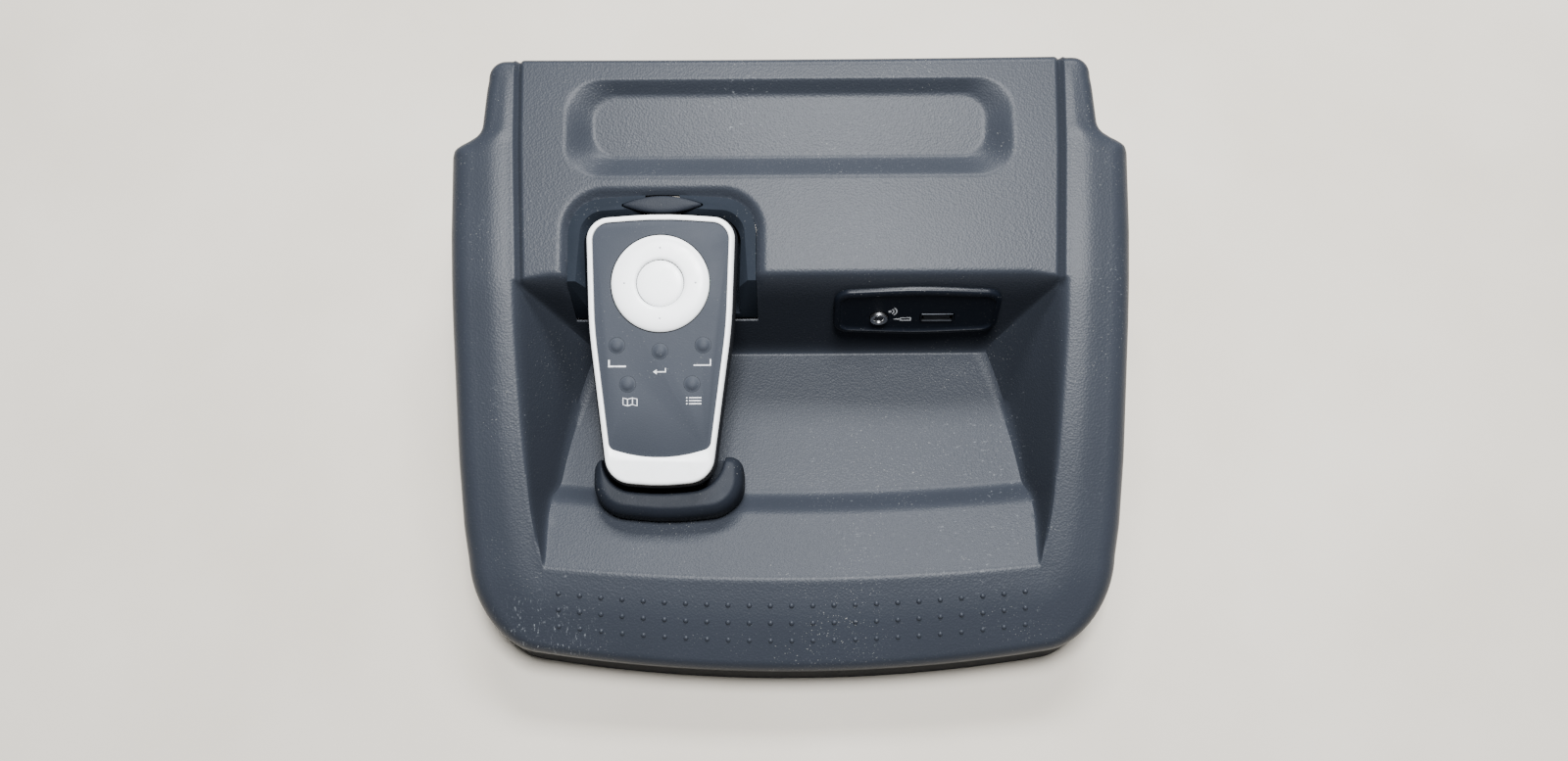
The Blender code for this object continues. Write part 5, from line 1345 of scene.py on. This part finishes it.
def make_port():
    """The port's metal shell, its tongue and the four contacts on it."""
    width, height = USB_SIZE
    wall = [rectangle(width, height), rectangle(width - 0.8, height - 0.8, radius=0.3)]
    shell = bevelled(plate(wall, -13.0, 2.0), 0.12, 2, 60.0)
    # The shell uses the darkened steel, painted shade for the slot.
    piece("usb_shell_form", shifted(shell, *USB), "tray", "plated_steel", SOCKET, ["usb_shell"],
          FINISH["shade_darkened_steel"])
    tongue = soft_box((-4.9, -1.5, -12.6), (4.9, 0.1, 1.0), 0.2)
    piece("usb_tongue_form", shifted(tongue, *USB), "tray", "inner_plastic", SOCKET, ["usb_tongue"],
          FINISH["tongue"])
    # The contacts also use the darkened steel, painted shade for the slot.
    contacts = [soft_box((a - 0.5, 0.05, -11.0), (a + 0.5, 0.2, 0.2), 0.05) for a in (-3.5, -1.2, 1.2, 3.5)]
    piece("usb_contacts", shifted(combined(contacts), *USB), "tray", "plated_steel", SOCKET,
          material=FINISH["shade_darkened_steel"])


def make_socket_inside():
    """The housing, the rear connector, the board and the plate's screws."""
    soft_pieces(["socket_housing"], 0.5, "inner_plastic")
    soft_pieces(["socket_connector"], 0.4, "inner_plastic")
    soft_pieces(["socket_board"], 0.15, "circuit_board")
    spots = [(sign * SOCKET_SCREW_X, 0.0) for sign, _ in SIDES]
    screw_pieces(both_sides("socket_screw"), spots, -5.3, (1.0, 5.6, 2.6, 1.8), place=SOCKET)


def make_socket_marks():
    """Plain printed marks beside the ports: sound waves for the jack and a plug outline for the port."""
    wave_x, wave_y = JACK[0] + 3.6, JACK[1] + 3.9
    plug_y = JACK[1] - 0.9
    turns = [radians(a) for a in range(-50, 51, 10)]
    marks = []
    for radius in (1.5, 2.6):
        wave = [(radius * cos(a), radius * sin(a)) for a in turns]
        wave += [((radius + 0.42) * cos(a), (radius + 0.42) * sin(a)) for a in reversed(turns)]
        marks.append(([wave], wave_x, wave_y))
    marks.append(([circle(0.6, segments=20)], wave_x + 0.3, wave_y))
    plug = [rectangle(4.2, 2.0, radius=0.25), rectangle(3.4, 1.2, radius=0.15)]
    marks.append((plug, JACK[0] + 9.9, plug_y))
    marks.append(([rectangle(2.2, 0.4, radius=0.1)], JACK[0] + 6.6, plug_y))
    plates = [shifted(plate(outlines, *SOCKET_MARK_Z), x, y) for outlines, x, y in marks]
    piece("socket_marks", combined(plates), "tray", "gloss_black", SOCKET, material=FINISH["print"])


def make_connector_pins():
    """The harness connector's latch bar and its four pins."""
    parts = [soft_box((-2.0, 2.0, -25.5), (2.0, 2.1, -22.0), 0.04)]
    for x in (-4.5, -1.5, 1.5, 4.5):
        parts.append(box((x - 0.35, -1.3, -25.9), (x + 0.35, -0.6, -25.0)))
    piece("connector_pins", combined(parts), "tray", "plated_steel", SOCKET)


# ---- handset ---------------------------------------------------------------------------------------
def make_case():
    """The rear shell with its bosses, screw wells, battery opening and lamp window."""
    levels = ((CASE_BACK, -4.6), (-20.85, -3.6), (-20.2, -2.6), (-19.2, -1.6), (-18.0, -0.9), (-15.5, -0.15),
              (-13.0, 0.4), (-9.5, 0.8), (-6.0, 1.0), (-4.6, 0.97), (-3.8, 0.8), (-3.2, 0.4), (-3.0, 0.1))
    shell = thickened(stacked(handset_outline(), levels, open_top=True), 1.7)
    below = CASE_BACK - 1.0
    wells = [cylinder(2.4, below, CASE_BACK + 2.4, place) for place in CASE_SCREWS]
    half = DOOR_HALF_WIDTH + 0.35
    door = box((-half, DOOR_Y[0] - DOOR_TRAVEL - 0.4, below), (half, DOOR_Y[1] + 0.35, CASE_BACK + 3.0))
    lamp = box((-7.0, 44.0, -10.6), (7.0, 54.0, -5.8))
    shell = carved(shell, wells + [door, lamp])
    bosses = []
    for x, y in CASE_SCREWS:
        tube = turned([(1.3, -6.4), (3.1, -6.4), (3.1, CASE_BACK + 1.6), (1.3, CASE_BACK + 2.4)], 32, True)
        bosses.append(shifted(tube, x, y))
    piece("case_form", combined([shell] + bosses, 30.0), "handset", "case_plastic", HANDSET, ["handset_case"])
    window = soft_box((-6.7, 46.9, -10.3), (6.7, 49.2, -6.1), 0.5, 3)
    piece("window_form", window, "handset", "dark_lens", HANDSET, ["infrared_window"])
    screw_pieces(["case_screw_%d" % i for i in (1, 2, 3, 4)], CASE_SCREWS, CASE_BACK + 2.1,
                 (1.0, 10.0, 2.0, 1.4), "handset", HANDSET)


def make_front():
    """The silver frame with its rounded chin, and the soft face with its holes."""
    levels = ((-2.7, -0.25), (-2.45, 0.0), (-1.0, 0.0), (-0.5, -0.08), (-0.1, -0.25), (0.15, -0.5),
              (0.3, -0.8), (0.38, -1.15), (0.4, -1.5))
    blank = stacked(handset_outline(), levels)
    inner = face_outline()
    cutter = stacked(inner, ((-4.0, 0.0), (0.1, 0.0), (0.3, 0.1), (0.42, 0.3), (1.0, 0.9)))
    piece("frame_form", carved(blank, [cutter], sharp=45.0), "handset", "silver_paint", HANDSET,
          ["handset_frame"])
    face = stacked(inner, ((-2.4, -0.12), (-0.3, -0.12), (-0.1, -0.18), (0.0, -0.35)))
    holes = [cylinder(ROCKER_RADIUS + 0.3, -4.0, 2.0, (0.0, ROCKER_Y), 96)]
    for label in KEY_NAMES:
        holes.append(cylinder(KEY_RADIUS + 0.14, -4.0, 2.0, key_place("key_" + label), 48))
    piece("face_form", carved(face, holes, sharp=35.0), "handset", "face_rubber", HANDSET, ["handset_face"])


def stroke(points, width):
    """A flat outline along a path of straight strokes, mitred at its corners."""
    left = []
    right = []
    for i, (x, y) in enumerate(points):
        here = Vector((x, y))
        ahead = Vector(points[min(i + 1, len(points) - 1)]) - here
        behind = here - Vector(points[max(i - 1, 0)])
        ways = [way.normalized() for way in (behind, ahead) if way.length > 0]
        way = sum(ways, Vector((0.0, 0.0))).normalized()
        normal = Vector((-way.y, way.x))
        reach = width / 2 / max(0.3, normal.dot(Vector((-ways[0].y, ways[0].x))))
        left.append(tuple(here + normal * reach))
        right.append(tuple(here - normal * reach))
    return left + right[::-1]


def make_face_marks():
    """Corner marks and plain symbols: an arrow for going back, a folded map and a list."""
    outlines = [[stroke([(-17.9, -3.6), (-17.9, -5.9), (-11.9, -5.9)], 0.55)],
                [stroke([(11.9, -5.6), (17.8, -5.6), (17.8, -3.5)], 0.4)],
                [stroke([(2.0, -6.6), (2.0, -7.9), (-1.4, -7.9)], 0.36)],
                [[(-2.4, -7.9), (-1.1, -8.75), (-1.1, -7.05)]]]
    left, top, width, height = -13.0, -16.9, 5.2, 2.6
    folds = [(left + width * k / 3, top - (0.45 if k % 2 else 0.0)) for k in range(4)]
    sheet = (folds + [(x, y - height) for x, y in reversed(folds)])[::-1]
    outlines.append([sheet, grown(sheet, -0.3)])
    for x, y in folds[1:3]:
        outlines.append([stroke([(x, y - 0.15), (x, y - height + 0.15)], 0.28)])
    for k in range(3):
        y = -17.1 - 1.05 * k
        outlines.append([stroke([(10.3, y), (14.6, y)], 0.36)])
        outlines.append([circle(0.24, (9.5, y), 12)])
    marks = [plate(outline, -0.1, 0.025) for outline in outlines]
    piece("face_marks", combined(marks), "handset", "face_rubber", HANDSET, material=FINISH["print"])


def make_rocker():
    """The white ring with its four direction dots, on its gimbal."""
    r = ROCKER_RADIUS
    inner = CENTRE_RADIUS + 0.3
    profile = [(inner, 0.62), (inner + 0.08, 0.8), (inner + 0.35, 0.96), (inner + 1.2, 1.02),
               (r * 0.75, 1.05), (r - 3.0, 0.99), (r - 1.9, 0.86), (r - 1.0, 0.62), (r - 0.4, 0.32),
               (r - 0.08, -0.05), (r, -0.4), (r, -1.5), (inner, -1.5)]
    ring = shifted(turned(profile, 128, True), 0.0, ROCKER_Y)
    piece("ring_form", ring, "rocker_ring", "white_plastic", HANDSET, ["rocker_ring"])
    dot_profile = [(0.0, 1.085), (0.25, 1.08), (0.36, 1.04), (0.36, 0.9), (0.0, 0.9)]
    dots = [shifted(turned(dot_profile, 20), x, y)
            for x, y in circle(DIRECTION_DOT_RADIUS, (0.0, ROCKER_Y), 4)]
    piece("ring_dots", combined(dots), "rocker_ring", "white_plastic", HANDSET, material=FINISH["dot"])
    piece("gimbal_form", softened("rocker_gimbal", 0.15), "rocker_gimbal", "inner_plastic",
          nodes=["rocker_gimbal"])


def make_centre_key():
    """The round white key inside the ring, with its stem."""
    r = CENTRE_RADIUS
    profile = [(0.0, 0.75), (r * 0.4, 0.74), (r * 0.7, 0.70), (r - 0.9, 0.63), (r - 0.4, 0.54),
               (r - 0.12, 0.36), (r, 0.05), (r, -1.2), (3.0, -1.2), (3.0, -3.1), (0.0, -3.1)]
    key = shifted(turned(profile, 96), 0.0, ROCKER_Y)
    piece("centre_key_form", key, "centre_key", "white_plastic", HANDSET, ["centre_key"])


def make_keys():
    """Five soft domes that rise out of the face."""
    r = KEY_RADIUS + 0.06
    profile = [(0.0, 0.75), (0.6, 0.74), (1.1, 0.67), (1.55, 0.52), (1.95, 0.31), (2.3, 0.13), (2.6, 0.03),
               (r, 0.0), (r, -2.7), (r + 1.2, -2.7), (r + 1.2, -3.05), (0.0, -3.1)]
    for label in KEY_NAMES:
        node = "key_" + label
        key = shifted(turned(profile, 48), *key_place(node))
        piece(node + "_form", key, node, "face_rubber", HANDSET, [node])


def make_battery():
    """Two wrapped cells that lie head to tail, with their springs and contacts."""
    top = CELL_LENGTH
    profile = [(0.0, top), (1.5, top), (1.85, top - 0.2), (1.9, top - 0.9), (4.7, top - 0.9),
               (5.15, top - 1.1), (5.25, top - 1.5), (5.25, 0.5), (5.15, 0.12), (4.8, 0.0), (0.0, 0.0)]
    for sign, label in SIDES:
        start = CELL_START_Y + (CELL_LENGTH if sign > 0 else 0.0)
        place = Matrix.Translation(Vector((sign * CELL_X, start, CELL_Z)) * MM)
        cell = moved(turned(profile, 48), place @ Matrix.Rotation(sign * pi / 2, 4, "X"))
        piece("battery_cell_%s_form" % label, cell, "handset", "cell_wrap", HANDSET,
              ["battery_cell_" + label])
        points = [(x, start + sign * z, y) for x, y, z in coil_points(4, 2.2, 3.8, 0.7, 5.7)]
        spring = shifted(wire(points, 0.3), sign * CELL_X, 0.0, CELL_Z)
        piece("battery_spring_%s_form" % label, spring, "handset", "plated_steel", HANDSET,
              ["battery_spring_" + label])
        soft_pieces(["battery_contact_" + label], 0.15, "plated_steel", "handset")


def make_door():
    """The battery door with its grip grooves and the flange that slides inside the case."""
    x = DOOR_HALF_WIDTH
    start, end = DOOR_Y
    door = bevelled(box((-x, start, CASE_BACK + 0.05), (x, end, CASE_BACK + 2.3)), 0.35, 3)
    grips = []
    for k in range(6):
        y = start + 5.0 + 1.9 * k
        groove = box((-6.5, y - 0.45, CASE_BACK - 1.0), (6.5, y + 0.45, CASE_BACK + 0.6))
        grips.append(bevelled(groove, 0.2, 2))
    flange = soft_box((-x - 1.0, start - DOOR_TRAVEL + 0.3, CASE_BACK + 2.0),
                      (x + 1.0, end - 0.8, CASE_BACK + 3.1), 0.3)
    piece("door_form", combined([carved(door, grips), flange]), "battery_door", "case_plastic", HANDSET,
          ["battery_door"])


def make_stage():
    """The floor, two soft lamps and an even sky."""
    floor = linked("floor", box((-1500.0, -1500.0, -4.0), (1500.0, 1500.0, -0.02)))
    floor.data.materials.append(floor_finish())
    world = bpy.data.worlds.new("sky")
    world.use_nodes = True
    sky = world.node_tree.nodes["Background"].inputs
    sky["Color"].default_value = (0.92, 0.96, 1.0, 1.0)
    sky["Strength"].default_value = 0.08
    bpy.context.scene.world = world
    lamps = (("main_lamp", (0.06, 0.12, 1.30), (0.42, 0.36), 47.0),
             ("rear_lamp", (0.12, 1.00, 1.10), (0.8, 0.26), 38.0))
    for name, place, size, power in lamps:
        data = bpy.data.lights.new(name, "AREA")
        data.shape = "RECTANGLE"
        data.size, data.size_y = size
        data.energy = power
        data.color = (0.96, 0.98, 1.0)
        lamp = linked(name, data)
        lamp.location = place
        lamp.rotation_euler = (-Vector(place)).to_track_quat("-Z", "Y").to_euler()


def make_camera():
    data = bpy.data.cameras.new("camera")
    data.lens = CAMERA_LENS
    data.sensor_width = CAMERA_SENSOR
    camera = linked("camera", data)
    camera.location = CAMERA_PLACE
    camera.rotation_euler = Euler(CAMERA_TURN, "XYZ")
    bpy.context.scene.camera = camera


def finish_frame_nodes():
    """Give every CAD node that stays in view its slot's material."""
    slots = {part["node"]: part["material_slot"] for part in frame["record"]["subparts"]}
    for name, item in frame["nodes"].items():
        item.data.materials.clear()
        item.data.materials.append(FINISH[slots[name]])
        shaded(item.data, 35.0)


make_camera()
finish_frame_nodes()
make_tray()
make_lip_dots()
make_underside()
make_spring_clips()
make_dish()
make_latch()
make_cup()
make_cradle_screws()
make_bezel()
make_jack()
make_port()
make_socket_marks()
make_socket_inside()
make_connector_pins()
make_case()
make_front()
make_face_marks()
make_rocker()
make_centre_key()
make_keys()
make_battery()
make_door()
make_stage()
